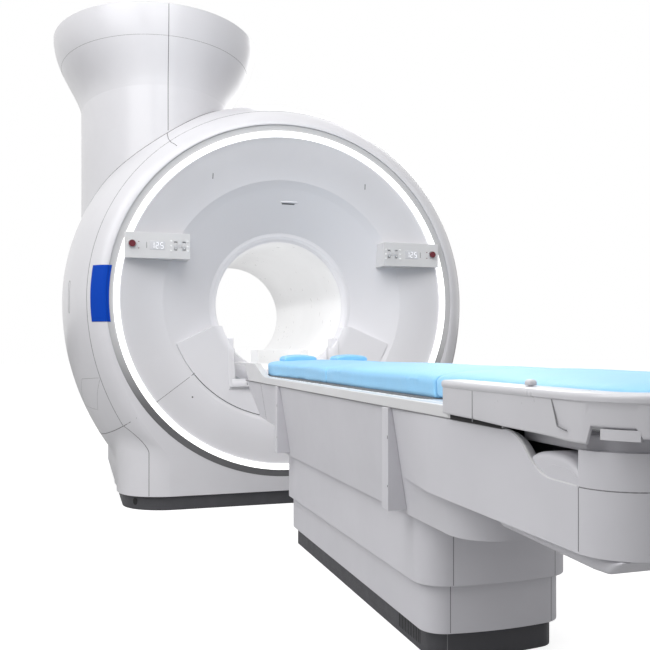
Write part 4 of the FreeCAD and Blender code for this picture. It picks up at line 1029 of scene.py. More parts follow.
# Black that stands for shade: painted shade in holes and vent slots, and painted shadow beside the rails
# under the tub.
SHADE_BLACK = Moulded("recess_painted_shade", (0.012, 0.012, 0.013), 0.8)
PANE = Moulded("display_pane", (0.60, 0.60, 0.63), 0.12, peel_depth=0.00001, coat=0.6)
BAR_GLOW = Lit("display_bars", (0.90, 0.91, 0.95), 0.3, glow=0.55)
KEY_WHITE = Moulded("key_white", (0.86, 0.86, 0.87), 0.35)

SLOT_FINISHES: dict[str, Finish] = {
    "casing_white": SHELL,
    "dish_gray": DISH,
    "panel_white": PANEL,
    "light_ring": GLOW,
    "bezel_gray": BEZEL,
    "plinth_dark": PLINTH,
    "badge_blue": BADGE,
    "liner_white": LINER,
    "vessel_steel": STEEL,
    "coil_resin": RESIN,
    "frame_steel": FRAME,
    "column_alu": ALU,
    "table_gray": TABLE,
    "rail_white": RAIL,
    "tabletop_white": TOP,
    "tub_white": TUB,
    "mattress_blue": CLOTH,
    "stop_red": RED,
    "key_gray": KEY,
    "duct_gray": DUCT,
}


@dataclass
class Workshop:
    """Keeps one material for each finish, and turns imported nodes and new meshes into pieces."""

    frame: dict[str, Any]
    made: dict[str, bpy.types.Material] = field(default_factory=dict)
    flat_degrees: float = 0.8
    shade_degrees: float = 40.0

    def material(self, finish: Finish) -> bpy.types.Material:
        """The finish's material, made on first use."""
        if finish.name not in self.made:
            self.made[finish.name] = finish.make()
        return self.made[finish.name]

    def dress_nodes(self) -> None:
        """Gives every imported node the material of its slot."""
        for part in self.frame["record"]["subparts"]:
            node = self.frame["nodes"][part["node"]]
            material = self.material(SLOT_FINISHES[part["material_slot"]])
            node.data.materials.clear()
            node.data.materials.append(material)
        LOG.info("dressed %d packed nodes", len(self.frame["nodes"]))

    def piece(
        self, made: bpy.types.Object, finish: Finish, body: Body, stands_for: Sequence[str] = ()
    ) -> bpy.types.Object:
        """Finishes a new object and hangs it on its body.

        Args:
            made: The object.
            finish: Its finish.
            body: The body it rides on.
            stands_for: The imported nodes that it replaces.

        Returns:
            The same object.
        """
        made.data.materials.clear()
        made.data.materials.append(self.material(finish))
        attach(made, body.value)
        if stands_for:
            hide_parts(*stands_for)
        LOG.info("%s rides on %s", made.name, body.value)
        return made

    def join(self, name: str, parts: Sequence[bpy.types.Object]) -> bpy.types.Object:
        """Joins objects into the first one and gives it a name."""
        with bpy.context.temp_override(active_object=parts[0], selected_editable_objects=list(parts)):
            bpy.ops.object.join()
        parts[0].name = parts[0].data.name = name
        return parts[0]

    def softened(
        self, node: str, edge: float, sharp: float = 30.0, segments: int = 3, least: float = 0.0
    ) -> bpy.types.Object:
        """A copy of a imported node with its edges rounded, as a mould leaves them.

        Its loose triangles are merged, flat faces are made whole, and each edge that turns by more
        than an angle is rolled over with a radius.

        Args:
            node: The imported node.
            edge: The radius of its edges in metres.
            sharp: The least angle of an edge that is rounded, in degrees.
            segments: How many faces the roll has.
            least: The least length of an edge that is rounded, in metres.

        Returns:
            The new object, which replaces the node.
        """
        source = self.frame["nodes"][node]
        work = bmesh.new()
        work.from_mesh(source.data)
        bmesh.ops.remove_doubles(work, verts=work.verts, dist=WELD)
        bmesh.ops.dissolve_limit(
            work, angle_limit=math.radians(self.flat_degrees), verts=work.verts, edges=work.edges
        )
        limit = math.radians(sharp)
        chosen = [
            e
            for e in work.edges
            if len(e.link_faces) == 2 and e.calc_face_angle(0.0) > limit and e.calc_length() >= least
        ]
        bmesh.ops.bevel(
            work, geom=chosen, offset=edge, segments=segments, profile=0.5, affect="EDGES", clamp_overlap=True
        )
        mesh = bpy.data.meshes.new(f"{node}_soft")
        work.to_mesh(mesh)
        work.free()
        mesh.shade_smooth()
        mesh.set_sharp_from_angle(angle=math.radians(self.shade_degrees))
        made = link(f"{node}_soft", mesh)
        weight = made.modifiers.new("even_normals", "WEIGHTED_NORMAL")
        weight.keep_sharp = True
        part = next(p for p in self.frame["record"]["subparts"] if p["node"] == node)
        body = next(b for b, nodes in self.frame["record"]["behaviour"]["bodies"].items() if node in nodes)
        return self.piece(made, SLOT_FINISHES[part["material_slot"]], Body(body), [node])


# ---------------------------------------------------------------------------------------------
# The magnet's covers
# ---------------------------------------------------------------------------------------------


@dataclass
class CasingSeams:
    """The joints between the casing's covers, its slots and its outlined hatches, in metres."""

    shop: Workshop
    ring_height: float = 1.062
    far: float = 1.5
    front_seam_y: float = -0.870
    rear_seam_y: float = 0.700
    split_x: float = -0.600
    radial_drop: float = 37.5
    radial_span: Pair = (-0.947, 0.698)  # y
    foot_seam_x: float = 0.712
    foot_bend: float = 0.118
    foot_bend_power: float = 1.5
    foot_bend_z: Pair = (0.423, 0.29)  # z
    foot_z: Pair = (0.28, 0.074)  # z
    apron_ring_end: Pair = (0.700, 0.527)  # x, z
    apron_tip: Pair = (0.479, 0.686)  # x, z
    apron_across: Direction = (0.55, 0.0, 0.83)
    apron_radius: float = 0.6155
    apron_degrees: Pair = (219, 268)
    apron_reach: float = 0.004
    tower_far: float = 1.2
    foot_start_z: float = 2.17
    hook_start_z: float = 2.4
    hook_reach: float = 0.003
    tower_top: float = 2.603
    tower_foot_front: float = 1.953
    tower_foot_rear: float = 2.00
    tower_line: float = 2.440
    tower_half: Pair = (0.425, 0.735)  # along x, along y
    tower_clearance: float = 0.0025
    hook_knots: tuple[Pair, ...] = (  # x, y
        (-0.605, -0.742),
        (-0.608, -0.790),
        (-0.609, -0.841),
        (-0.600, -0.888),
        (-0.576, -0.930),
    )
    hatch: tuple[Pair, ...] = ((-0.651, 0.654), (-0.872, 0.666), (-0.706, 0.496), (-0.394, 0.509))  # y, z
    pill_middle: Pair = (-0.645, 1.077)  # y, z
    pill_size: Triple = (0.026, 0.165, 0.0129)  # width, height, corner
    slots: tuple[tuple[float, float, float, float], ...] = (  # x, z, width, height
        (-0.393, 1.695, 0.004, 0.030),
        (0.427, 1.688, 0.004, 0.030),
        (-0.495, 0.564, 0.009, 0.009),
        (0.495, 0.564, 0.009, 0.009),
        (0.026, 1.5870, 0.080, 0.0075),
    )
    slot_corner: float = 0.48
    slot_proud: float = 0.0006
    lip_place: Pair = (0.026, 1.5965)  # x, z
    lip_proud: float = 0.004
    lip_size: Triple = (0.090, 0.009, 0.004)  # width, height, corner
    anchor_place: Direction = (0.776, -0.850, 0.040)
    anchor_way: Pair = (0.55, 0.83)  # inwards, ahead
    anchor_size: Triple = (0.030, 0.036, 0.0149)  # width, height, corner
    anchor_proud: float = 0.001
    seam_radius: float = 0.0022
    sunk_share: float = 6 / 11
    tower_line_radius: float = 0.0010
    tower_foot_radius: float = 0.0030
    hatch_radius: float = 0.0009
    pill_radius: float = 0.0016
    apron_seam_radius: float = 0.0014
    covers: tuple[str, ...] = (
        "front_band",
        "side_cover_left",
        "side_cover_right",
        "base_front_cover",
        "base_cover_left",
        "base_cover_right",
        "rear_cover",
    )
    front_covers: tuple[str, ...] = (
        "front_cover",
        "lower_ring_panel",
        "docking_cover",
        "ring_bezel",
        "light_ring",
    )

    def __post_init__(self) -> None:
        """Readies the probes for the covers and for the dish."""
        frame = self.shop.frame
        self.shell = Probe(frame, self.covers)
        self.dish = Probe(frame, self.front_covers)
        self.tower = Probe(frame, ["chimney_cover_left", "chimney_cover_right"])
        self.parts: list[bpy.types.Object] = []

    def run(self, laid: Laid, radius: float | None = None, closed: bool = False) -> None:
        """Adds one dark gray seam bead along a laid line."""
        size = radius or self.seam_radius
        name = f"seam_run_{len(self.parts)}"
        self.parts.append(bead(name, *laid, size, size * self.sunk_share, closed))

    def hoop(self, y: float, count: int = 150) -> Laid:
        """A line round the casing at one depth, from one radial seam over the top to the other."""
        angle = np.radians(np.linspace(-self.radial_drop, 180 + self.radial_drop, count))
        outward = points(np.cos(angle), 0, np.sin(angle))
        return self.shell.lay(outward * self.far + (0, y, self.ring_height), -outward, AHEAD)

    def radial(self, side: Side) -> Laid:
        """The seam between a side cover and the base cover under it."""
        drop = math.radians(self.radial_drop)
        outward = np.array([side * math.cos(drop), 0, -math.sin(drop)])
        starts = outward * self.far + points(0, np.linspace(*self.radial_span, 60), self.ring_height)
        return self.shell.lay(starts, -outward, (side * math.sin(drop), 0, math.cos(drop)))

    def foot_front(self, side: Side) -> Laid:
        """The seam that runs on from the front seam, bends in, and drops to the skirt."""
        high, low = self.foot_bend_z
        z = np.concatenate([np.linspace(high, low, 14), np.linspace(*self.foot_z, 10)])
        bend = np.clip((z - low) / (high - low), 0, 1) ** self.foot_bend_power
        x = side * (self.foot_seam_x + self.foot_bend * bend)
        return self.shell.lay(points(x, BEFORE_FRONT, z), AHEAD, ACROSS)

    def apron(self, side: Side) -> Laid:
        """The slanting seam from the ring to the docking cover's tip."""
        ends = [(side * x, BEFORE_FRONT, z) for x, z in (self.apron_ring_end, self.apron_tip)]
        across = (side, 1, 1) * np.array(self.apron_across)
        return self.dish.lay(line(*ends, 16), AHEAD, across, self.apron_reach)

    def apron_arc(self, side: Side) -> Laid:
        """The arc under the docking cover, from its tip to behind the table."""
        angle = np.radians(np.linspace(*self.apron_degrees, 24))
        outward = points(side * -np.cos(angle), 0, np.sin(angle))
        starts = outward * self.apron_radius + (0, BEFORE_FRONT, self.ring_height)
        return self.dish.lay(starts, AHEAD, outward, self.apron_reach)

    def tower_split(self, end: int, foot: float) -> Laid:
        """The upright seam between the tower's two covers, at the front (-1) or the rear (1)."""
        starts = points(self.split_x, -end * BEFORE_FRONT, np.linspace(self.tower_top, foot, 60))
        return self.tower.lay(starts, (0, -end, 0), ACROSS)

    def tower_ring(self) -> Laid:
        """The level line round the tower."""
        outward = points(*around(260), 0)
        return self.tower.lay(outward * self.tower_far + (self.split_x, 0, self.tower_line), -outward, UP)

    def tower_foot(self) -> Laid:
        """The line where the tower stands on the casing: an ellipse dropped onto it."""
        cosine, sine = around(120)
        half_x, half_y = self.tower_half
        gap = self.tower_clearance
        starts = points(self.split_x + (half_x + gap) * cosine, (half_y + gap) * sine, self.foot_start_z)
        place, normal = self.shell.cast(starts, DOWN)
        return place, unit(unit(points(cosine / half_x, sine / half_y, 0)) + normal)

    def hook(self) -> Laid:
        """The short seam that runs on from the tower's split and bends away on the front."""
        knots = np.array(self.hook_knots)
        at = np.linspace(0, len(knots) - 1, 20)
        x, y = (np.interp(at, np.arange(len(knots)), column) for column in knots.T)
        return self.shell.lay(points(x, y, self.hook_start_z), DOWN, ACROSS, self.hook_reach)

    def outline(self, corners_yz: Iterable[Pair], side: Side, radius: float) -> None:
        """Adds a closed outline on the casing's flank through places given as (y, z)."""
        loop = np.array(list(corners_yz), float)
        y, z = np.concatenate([line(a, b, 10)[:-1] for a, b in zip(loop, np.roll(loop, -1, 0))]).T
        self.run(self.shell.cast(points(side * self.far, y, z), (-side, 0, 0)), radius, True)

    def dish_slots(self) -> None:
        """The slots and the small fasteners in the dish, and the lip over its upper slot."""
        dark = []
        # The dark colour of these caps is painted shade inside the slots.
        for x, z, width, height in self.slots:
            spot = self.dish.spot((x, BEFORE_FRONT, z), AHEAD)
            shape = rounded_rectangle(width, height, min(width, height) * self.slot_corner)
            dark.append(button(f"slot_{len(dark)}", shape, *spot, UP, self.slot_proud, 0.0))
        self.shop.piece(self.shop.join("dish_slots", dark), DARK_SEAM_AND_SHADE, Body.SCANNER)
        spot = self.dish.spot((self.lip_place[0], BEFORE_FRONT, self.lip_place[1]), AHEAD)
        lip = button("dish_slot_lip", rounded_rectangle(*self.lip_size), *spot, UP, self.lip_proud)
        self.shop.piece(lip, DISH, Body.SCANNER)

    def anchor_holes(self) -> None:
        """The round anchor holes at the skirt's front corners, as black caps whose colour is painted shade
        inside the holes.
        """
        skirt = Probe(self.shop.frame, ["casing_skirt"])
        holes = []
        for side in Side:
            way = unit(np.array([-side * self.anchor_way[0], self.anchor_way[1], 0.0]))
            spot = skirt.spot((side, 1, 1) * np.array(self.anchor_place) - way * 0.5, way)
            shape = rounded_rectangle(*self.anchor_size)
            holes.append(button(f"anchor_{side.word}", shape, *spot, UP, self.anchor_proud, 0.0))
        self.shop.piece(self.shop.join("skirt_anchor_holes", holes), SHADE_BLACK, Body.SCANNER)

    def hang(self, name: str) -> None:
        """Joins the beads that were added since the last time into one piece."""
        self.shop.piece(self.shop.join(name, self.parts), DARK_SEAM_AND_SHADE, Body.SCANNER)
        self.parts = []

    def build(self) -> None:
        """Lays every seam and hangs them on the scanner."""
        self.run(self.hoop(self.front_seam_y))
        self.run(self.hoop(self.rear_seam_y))
        y, z = self.pill_middle
        pill = [(y + a, z + b) for a, b in rounded_rectangle(*self.pill_size)]
        for side in Side:
            self.run(self.radial(side))
            self.run(self.foot_front(side))
            self.outline(pill, side, self.pill_radius)
            self.outline(self.hatch, side, self.hatch_radius)
        self.run(self.tower_split(-1, self.tower_foot_front))
        self.run(self.tower_split(1, self.tower_foot_rear))
        self.run(self.tower_ring(), self.tower_line_radius, True)
        self.run(self.tower_foot(), self.tower_foot_radius, True)
        self.run(self.hook())
        self.hang("casing_seams")
        for side in Side:
            self.run(self.apron(side), self.apron_seam_radius)
            self.run(self.apron_arc(side), self.apron_seam_radius)
        self.hang("dish_seams")
        self.dish_slots()
        self.anchor_holes()


@dataclass
class NamePlate:
    """The bare blue plate bent over the front band's shoulder, in metres and degrees."""

    shop: Workshop
    ring_height: float = 1.062
    radii: Pair = (0.989, 0.9035)
    low: float = 0.943
    high: float = 1.221
    lift: float = 0.0010
    thickness: float = 0.0026
    grid: tuple[int, int] = (22, 48)
    edge: float = 0.0008

    def build(self) -> None:
        """Lays a grid over the band and gives it a thickness.

        A place at radius r and height z starts at x = -sqrt(r * r - (z - ring) ** 2), is carried
        back along the bore onto the band, and is lifted along the normal found there.
        """
        columns, rows = self.grid
        across, upwards = np.linspace(*self.radii, columns), np.linspace(self.low, self.high, rows)
        radius, z = np.meshgrid(across, upwards)
        x = -np.sqrt(radius**2 - (z - self.ring_height) ** 2)
        band = Probe(self.shop.frame, ["front_band", "ring_bezel", "side_cover_left"])
        place, normal = band.cast(points(x, BEFORE_FRONT, z).reshape(-1, 3), AHEAD)
        faces = grid_faces(*x.shape, False, False)
        made = mesh_object("name_plate_bare", place + normal * self.lift, faces)
        thicken(made, self.thickness)
        roll_edges(made, self.edge, 2, 50)
        self.shop.piece(made, BADGE, Body.SCANNER, ["name_plate"])


@dataclass
class Bay:
    """The painted lining of the bay in which the table docks, in metres."""

    shop: Workshop
    half_width: float = 0.2985
    floor_height: float = 0.6135
    front: float = -0.872
    back: float = -0.7166
    cheek_inner: float = 0.2665
    bore_height: float = 1.042
    bore_radius: float = 0.3555
    thickness: float = 0.002
    overlap: float = 0.004
    proud: float = 0.0006
    slope: float = 0.19
    beside: float = 0.006
    least_depth: float = 0.001
    sill_inner: float = 0.206
    sill_foot: float = 0.597
    sill_top: float = 0.652
    sill_depth: float = 0.0105

    def strip(self, name: str, lower: np.ndarray, upper: np.ndarray) -> bpy.types.Object:
        """A thin sheet between two lines of the same length, thickened to both sides."""
        made = mesh_object(name, np.stack([lower, upper]), grid_faces(2, len(lower), False, False))
        thicken(made, self.thickness)
        return made

    def rim(self, x: np.ndarray) -> np.ndarray:
        """The height of the bore's lower half at x: its middle less sqrt(radius ** 2 - x ** 2)."""
        return self.bore_height - np.sqrt(self.bore_radius**2 - x**2)

    def build(self) -> None:
        """Makes the floor, the back, whose top follows the bore's rim, and both sides."""
        x = np.linspace(-self.half_width, self.half_width, 41)
        level = points(x, 0, self.floor_height)
        rear = level + (0, self.back, 0)
        for sheet in (
            self.strip("bay_floor", level + (0, self.front, 0), rear),
            self.strip("bay_back", rear, points(x, self.back, self.rim(x))),
        ):
            self.shop.piece(sheet, DISH, Body.SCANNER)
        cover = Probe(self.shop.frame, ["docking_cover"])
        for side in Side:
            self.shop.piece(self.cheek(cover, side), DISH, Body.SCANNER)
            self.shop.piece(self.sill(cover, side), DISH, Body.SCANNER)

    def cheek(self, cover: Probe, side: Side) -> bpy.types.Object:
        """The lining of one side: a face level with the docking cover, an inner wall and a top.

        At each height the face keeps the depth that the cover has just beside the bay and then
        falls back along the slope; its top edge lies on the bore's rim.
        """
        inwards = np.linspace(-self.overlap, self.half_width - self.cheek_inner, 9)
        x = side * (self.half_width - inwards)
        share = np.linspace(0, 1, 41)[:, None]
        z = self.sill_foot * (1 - share) + (self.rim(x) + self.thickness) * share
        starts = points(side * (self.half_width + self.beside), BEFORE_FRONT, z)
        face, _ = cover.cast(starts.reshape(-1, 3), AHEAD)
        met = face[:, 1].reshape(z.shape) - self.proud + self.slope * inwards
        front = points(x, np.minimum(met, self.back - self.least_depth), z)
        sheets = [mesh_object(f"bay_face_{side.word}", front, grid_faces(*z.shape, False, False))]
        for name, edge in (("wall", front[:, -1]), ("roof", front[-1])):
            end = edge * (1, 0, 1) + (0, self.back, 0)
            sheets.append(self.strip(f"bay_{name}_{side.word}", edge, end))
        return self.shop.join(f"bay_cheek_{side.word}", sheets[::-1])

    def sill(self, cover: Probe, side: Side) -> bpy.types.Object:
        """The low sill that carries the cover's face on beside the table's nose."""
        x = side * np.linspace(self.sill_inner, self.half_width, 12)
        face, _ = cover.cast(points(x, BEFORE_FRONT, self.sill_foot), AHEAD)
        foot = points(x, face[:, 1] - self.proud, self.sill_foot)
        rise = (0, self.sill_depth, self.sill_top - self.sill_foot)
        return self.strip(f"bay_sill_{side.word}", foot, foot + rise)


class Segment(Enum):
    """The seven bars of a number display, as (middle right, middle up, is upright)."""

    TOP = (0.0, 1.0, False)
    MIDDLE = (0.0, 0.0, False)
    BOTTOM = (0.0, -1.0, False)
    UPPER_LEFT = (-0.5, 0.5, True)
    UPPER_RIGHT = (0.5, 0.5, True)
    LOWER_LEFT = (-0.5, -0.5, True)
    LOWER_RIGHT = (0.5, -0.5, True)


DIGITS: dict[str, str] = {
    "0": "TOP BOTTOM UPPER_LEFT UPPER_RIGHT LOWER_LEFT LOWER_RIGHT",
    "1": "UPPER_RIGHT LOWER_RIGHT",
    "2": "TOP MIDDLE BOTTOM UPPER_RIGHT LOWER_LEFT",
    "5": "TOP MIDDLE BOTTOM UPPER_LEFT LOWER_RIGHT",
}


@dataclass
class ControlPanel:
    """What stands on one of the two control panels: keys, marks, a display and the stop's collar.

    Places are in metres; x is measured outwards from the middle of the scanner.
    """

    shop: Workshop
    side: Side
    face: float = -0.972
    key_face: float = -0.9752
    middle_height: float = 1.322
    cap_corner: float = 0.45
    stop: Pair = (0.796, 1.327)  # x, z
    collar_ring: float = 0.0205
    collar_radius: float = 0.0035
    collar_sunk: float = 0.001
    display_x: float = 0.676
    display_size: tuple[float, ...] = (0.074, 0.044, 0.0012, 0.004)  # width, height, proud, corner
    number: str = "125"
    digit_pitch: float = 0.022
    digit_half: Pair = (0.0125, 0.0145)  # right, up
    upright_bar: Pair = (0.0022, 0.0125)  # width, height
    level_bar: Pair = (0.0100, 0.0022)  # width, height
    bar_corner: float = 0.0010
    bar_lift: float = 0.0015
    bar_proud: float = 0.0008
    mark_x: float = 0.765
    mark_heights: Pair = (1.338, 1.306)
    mark_size: Triple = (0.006, 0.004, 0.0008)  # width, height, proud
    slot_x: float = 0.727
    slot_size: Triple = (0.0022, 0.030, 0.0006)  # width, height, proud
    dot_columns: Pair = (0.609, 0.527)
    dot_rows: Triple = (1.346, 1.322, 1.298)
    dot_size: Triple = (0.011, 0.009, 0.0012)  # width, height, proud
    arrow: tuple[Pair, ...] = ((0.0, 0.004), (-0.0045, -0.002), (0.0045, -0.002))  # right, up
    arrow_columns: Pair = (0.545, 0.587)
    arrow_rise: float = 0.012
    arrow_proud: float = 0.0007

    def cap(
        self, name: str, x: float, z: float, width: float, height: float, proud: float, corner: float = 0.0
    ) -> bpy.types.Object:
        """One low cap on the panel's face; its ends are round unless a corner is given."""
        shape = rounded_rectangle(width, height, corner or min(width, height) * self.cap_corner, 5)
        return button(name, shape, (self.side * x, self.face, z), FRONTWARDS, UP, proud)

    def collar(self) -> None:
        """The pale ring round the stop button: a rounded bead carried round a circle."""
        cosine, sine = around(40)
        x, z = self.stop
        path = points(cosine, 0, sine) * self.collar_ring + (self.side * x, self.face, z)
        name = f"stop_collar_{self.side.word}"
        made = bead(name, path, np.array(FRONTWARDS), self.collar_radius, self.collar_sunk, True)
        self.shop.piece(made, PANEL, Body.SCANNER)

    def display(self) -> None:
        """The number display: a glossy pane and lit bars."""
        name = f"display_pane_{self.side.word}"
        pane = self.cap(name, self.display_x, self.middle_height, *self.display_size)
        self.shop.piece(pane, PANE, Body.SCANNER)
        half_right, half_up = self.digit_half
        bars = []
        for place, digit in enumerate(self.number):
            middle = self.side * self.display_x + (-self.digit_pitch + place * self.digit_pitch)
            for bar in DIGITS[digit].split():
                right, up, upright = Segment[bar].value
                size = self.upright_bar if upright else self.level_bar
                shape = rounded_rectangle(*size, self.bar_corner, 3)
                height = self.middle_height + up * half_up
                foot = (middle + right * half_right, self.face - self.bar_lift, height)
                bars.append(button("bar", shape, foot, FRONTWARDS, UP, self.bar_proud, 0.0))
        self.shop.piece(self.shop.join(f"display_number_{self.side.word}", bars), BAR_GLOW, Body.SCANNER)

    def marks(self) -> None:
        """The two tiny red marks, the slot beside them, and white dots round the keys."""
        word = self.side.word
        red = [self.cap(f"mark_{z}", self.mark_x, z, *self.mark_size) for z in self.mark_heights]
        self.shop.piece(self.shop.join(f"panel_marks_{word}", red), RED, Body.SCANNER)
        # The slot's dark colour is painted shade inside it.
        slot = self.cap(f"panel_slot_{word}", self.slot_x, self.middle_height, *self.slot_size)
        self.shop.piece(slot, DARK_SEAM_AND_SHADE, Body.SCANNER)
        dots = [self.cap("dot", x, z, *self.dot_size) for x in self.dot_columns for z in self.dot_rows]
        self.shop.piece(self.shop.join(f"panel_keys_{word}", dots), KEY_WHITE, Body.SCANNER)

    def arrows(self) -> None:
        """Raised arrow marks on the rocking keys, each riding on its key."""
        for key, x in zip(("inner", "outer"), self.arrow_columns):
            marks = []
            for up in (-1, 1):
                tip = np.array(self.arrow) * (1, up)
                place = (self.side * x, self.key_face, self.middle_height + up * self.arrow_rise)
                shape = tip if up > 0 else tip[::-1]
                marks.append(button(f"arrow_{up}", shape, place, FRONTWARDS, UP, self.arrow_proud, 0.0))
            made = self.shop.join(f"key_arrows_{key}_{self.side.word}", marks)
            self.shop.piece(made, KEY_WHITE, Body(f"rocker_{key}_{self.side.word}"))

    def build(self) -> None:
        """Makes everything on the panel."""
        self.collar()
        self.display()
        self.marks()
        self.arrows()


# ---------------------------------------------------------------------------------------------
# The patient table
# ---------------------------------------------------------------------------------------------


@dataclass
class Table:
    """Seams, vents and small parts of the table's body and pedestal, in metres."""

    shop: Workshop
    rail_sides: Pair = (0.2624, 0.2914)
    rail_profile: tuple[Pair, ...] = (  # y, z
        (-3.900, 0.6610),
        (-1.345, 0.6610),
        (-1.300, 0.6950),
        (-1.235, 0.7345),
        (-0.968, 0.7380),
        (-0.962, 0.7410),
        (-0.968, 0.7440),
        (-1.480, 0.7440),
        (-1.560, 0.7230),
        (-1.640, 0.6990),
        (-1.700, 0.6888),
        (-3.900, 0.6888),
    )
    rail_edge: float = 0.0026
    # The dark sheet of painted shadow under the mattress's edge.
    shade_sheet_size: Triple = (0.511, 1.985, 0.030)  # width, length, corner
    shade_sheet_middle: Pair = (-2.436, 0.6900)  # y, z
    shade_sheet_thickness: float = 0.0032
    seam_radius: float = 0.0014
    seam_sunk: float = 0.55
    reach: float = 0.003
    foot_reach: float = 0.002
    foot_seam: Triple = (-4.1635, 0.484, 0.588)  # y, low z, high z
    gantry_seam: Triple = (-1.590, 0.50, 0.655)  # y, low z, high z
    waist_height: float = 0.589
    chin_height: float = 0.4815
    foot_middle: float = -4.098
    foot_far: float = 0.8
    foot_degrees: Pair = (193, 347)
    rail_line_place: Pair = (0.2902, 0.6603)  # x, z
    rail_line: Pair = (-3.898, -1.262)  # y
    rail_line_bead: Pair = (0.0017, 0.0008)  # radius, sunk
    far: float = 0.6
    pedestal_middle: float = -2.59
    pedestal_far: float = 1.2
    pedestal_seam_x: Pair = (-0.141, 0.160)
    shroud_span: Pair = (0.202, 0.449)
    lower_shroud_span: Pair = (0.074, 0.258)
    plinth_span: Pair = (0.004, 0.147)
    vent_y: Pair = (-3.215, -3.047)
    vent_z: Pair = (0.016, 0.076)
    vent_pitch: float = 0.012
    vent_far: float = 0.5
    vent_size: Pair = (0.0052, 0.0025)  # width, corner
    fin_y: Pair = (-3.268, -1.965)
    fin_marks_z: tuple[Pair, ...] = ((0.583, 0.010), (0.456, 0.006))  # z, height
    fin_mark_size: Pair = (0.0035, 0.0017)  # width, corner
    mark_proud: float = 0.0004
    dip_x: float = 0.2872
    dip_above: float = 0.8
    dip_y: Pair = (-3.905, -4.158)
    lip_width: float = 0.022
    lip_fade: float = 0.06
    lip_outer: tuple[Pair, ...] = (  # out, up
        (0.0018, -0.0010),
        (0.0010, 0.0012),
        (-0.0010, 0.0016),
        (-0.004, 0.0010),
    )
    lip_inner: tuple[Pair, ...] = (  # share of the width, down
        (0.35, 0.0010),
        (0.7, 0.0035),
        (0.95, 0.0075),
        (1.0, 0.0110),
        (0.9, 0.0125),
    )
    lip_under: Pair = (-0.003, 0.0035)  # out, down
    crease: Pair = (0.0019, 0.0022)  # out, down
    crease_bead: Pair = (0.0011, 0.0004)  # radius, sunk
    hump_half: float = 0.2838
    hump_roll: float = 0.012
    hump_sunk: float = 0.012
    hump_line: tuple[Pair, ...] = (  # y, z
        (-4.162, 0.603),
        (-4.140, 0.625),
        (-4.110, 0.633),
        (-4.060, 0.635),
        (-4.015, 0.630),
        (-3.975, 0.612),
        (-3.935, 0.590),
    )
    stop_bend: Triple = (0.140, -4.164, 0.170)  # x, y, radius
    stop_span: Pair = (0.1562, 0.1188)  # x from the middle
    stop_radii: Pair = (0.1655, 0.105)  # outer, inner
    stop_levels: Triple = (0.6725, 0.6780, 0.6896)
    # Black strips of painted shadow beside the rails under the tub's front.
    shade_strip_place: Pair = (0.2936, 0.6606)  # x, z
    shade_strip_span: Pair = (-3.900, -3.664)  # y
    shade_strip_size: Triple = (0.0022, 0.0112, 0.0009)  # width, height, corner
    shade_strip_rise: Pair = (-3.902, 0.03)  # y, length
    shade_strip_least: float = 0.4
    cap_half: float = 0.276
    cap_end: float = -4.246
    cap_start: float = -4.168
    cap_corner: float = 0.120
    cap_levels: tuple[Pair, ...] = (  # z, inset
        (0.6490, 0.0),
        (0.6700, 0.0),
        (0.6725, 0.0008),
        (0.6738, 0.0025),
        (0.6742, 0.006),
    )

    def seam(self, laid: Laid, name: str) -> bpy.types.Object:
        """A bead on a laid line."""
        return bead(name, *laid, self.seam_radius, self.seam_radius * self.seam_sunk)

    def body_seams(self) -> None:
        """The joints of the body's covers and the dark line under each rail."""
        nodes = ["side_panel_left", "side_panel_right", "foot_end_cover", "gantry_end_cover"]
        panels = Probe(self.shop.frame, nodes)
        out, z = self.rail_line_place
        runs = []
        for side in Side:
            for y, low, high in (self.foot_seam, self.gantry_seam):
                starts = line((side * self.far, y, high), (side * self.far, y, low), 20)
                laid = panels.lay(starts, (-side, 0, 0), AHEAD, self.reach)
                runs.append(self.seam(laid, f"upright_{len(runs)}"))
            path = line(*((side * out, y, z) for y in self.rail_line), 24)
            runs.append(bead(f"rail_line_{side.word}", path, (side, 0, 0), *self.rail_line_bead))
        angle = np.radians(np.linspace(*self.foot_degrees, 60))
        outward = points(np.cos(angle), np.sin(angle), 0)
        for z in (self.waist_height, self.chin_height):
            starts = outward * self.foot_far + (0, self.foot_middle, z)
            laid = panels.lay(starts, -outward, UP, self.foot_reach)
            runs.append(self.seam(laid, f"foot_line_{z}"))
        self.shop.piece(self.shop.join("table_seams", runs), SEAM, Body.TABLE)

    def pedestal_seams(self) -> None:
        """The upright joints of the shrouds and the plinth, two at each end."""
        for node, body, (low, high) in (
            ("upper_shroud", Body.UPPER_SHROUD, self.shroud_span),
            ("lower_shroud", Body.LOWER_SHROUD, self.lower_shroud_span),
            ("table_plinth", Body.SCANNER, self.plinth_span),
        ):
            probe = Probe(self.shop.frame, [node])
            runs = []
            for end in (-1, 1):
                for x in self.pedestal_seam_x:
                    y = self.pedestal_middle + end * self.pedestal_far
                    starts = line((x, y, low), (x, y, high), 16)
                    laid = probe.lay(starts, (0, -end, 0), ACROSS, self.reach)
                    runs.append(self.seam(laid, f"{node}_{len(runs)}"))
            self.shop.piece(self.shop.join(f"{node}_seams", runs), SEAM, body)

    def fleck(self, start: Direction, probe: Probe, height: float, size: Pair) -> bpy.types.Object:
        """A small upright cap with rounded ends on a flank.

        Args:
            start: A place beside the flank, on its outer side.
            probe: What the flank belongs to.
            height: The cap's height.
            size: The cap's width and the radius of its corners.

        Returns:
            The new object.
        """
        spot = probe.spot(start, (-np.sign(start[0]), 0, 0))
        shape = rounded_rectangle(size[0], height, size[1], 3)
        return button("fleck", shape, *spot, UP, self.mark_proud, 0.0)

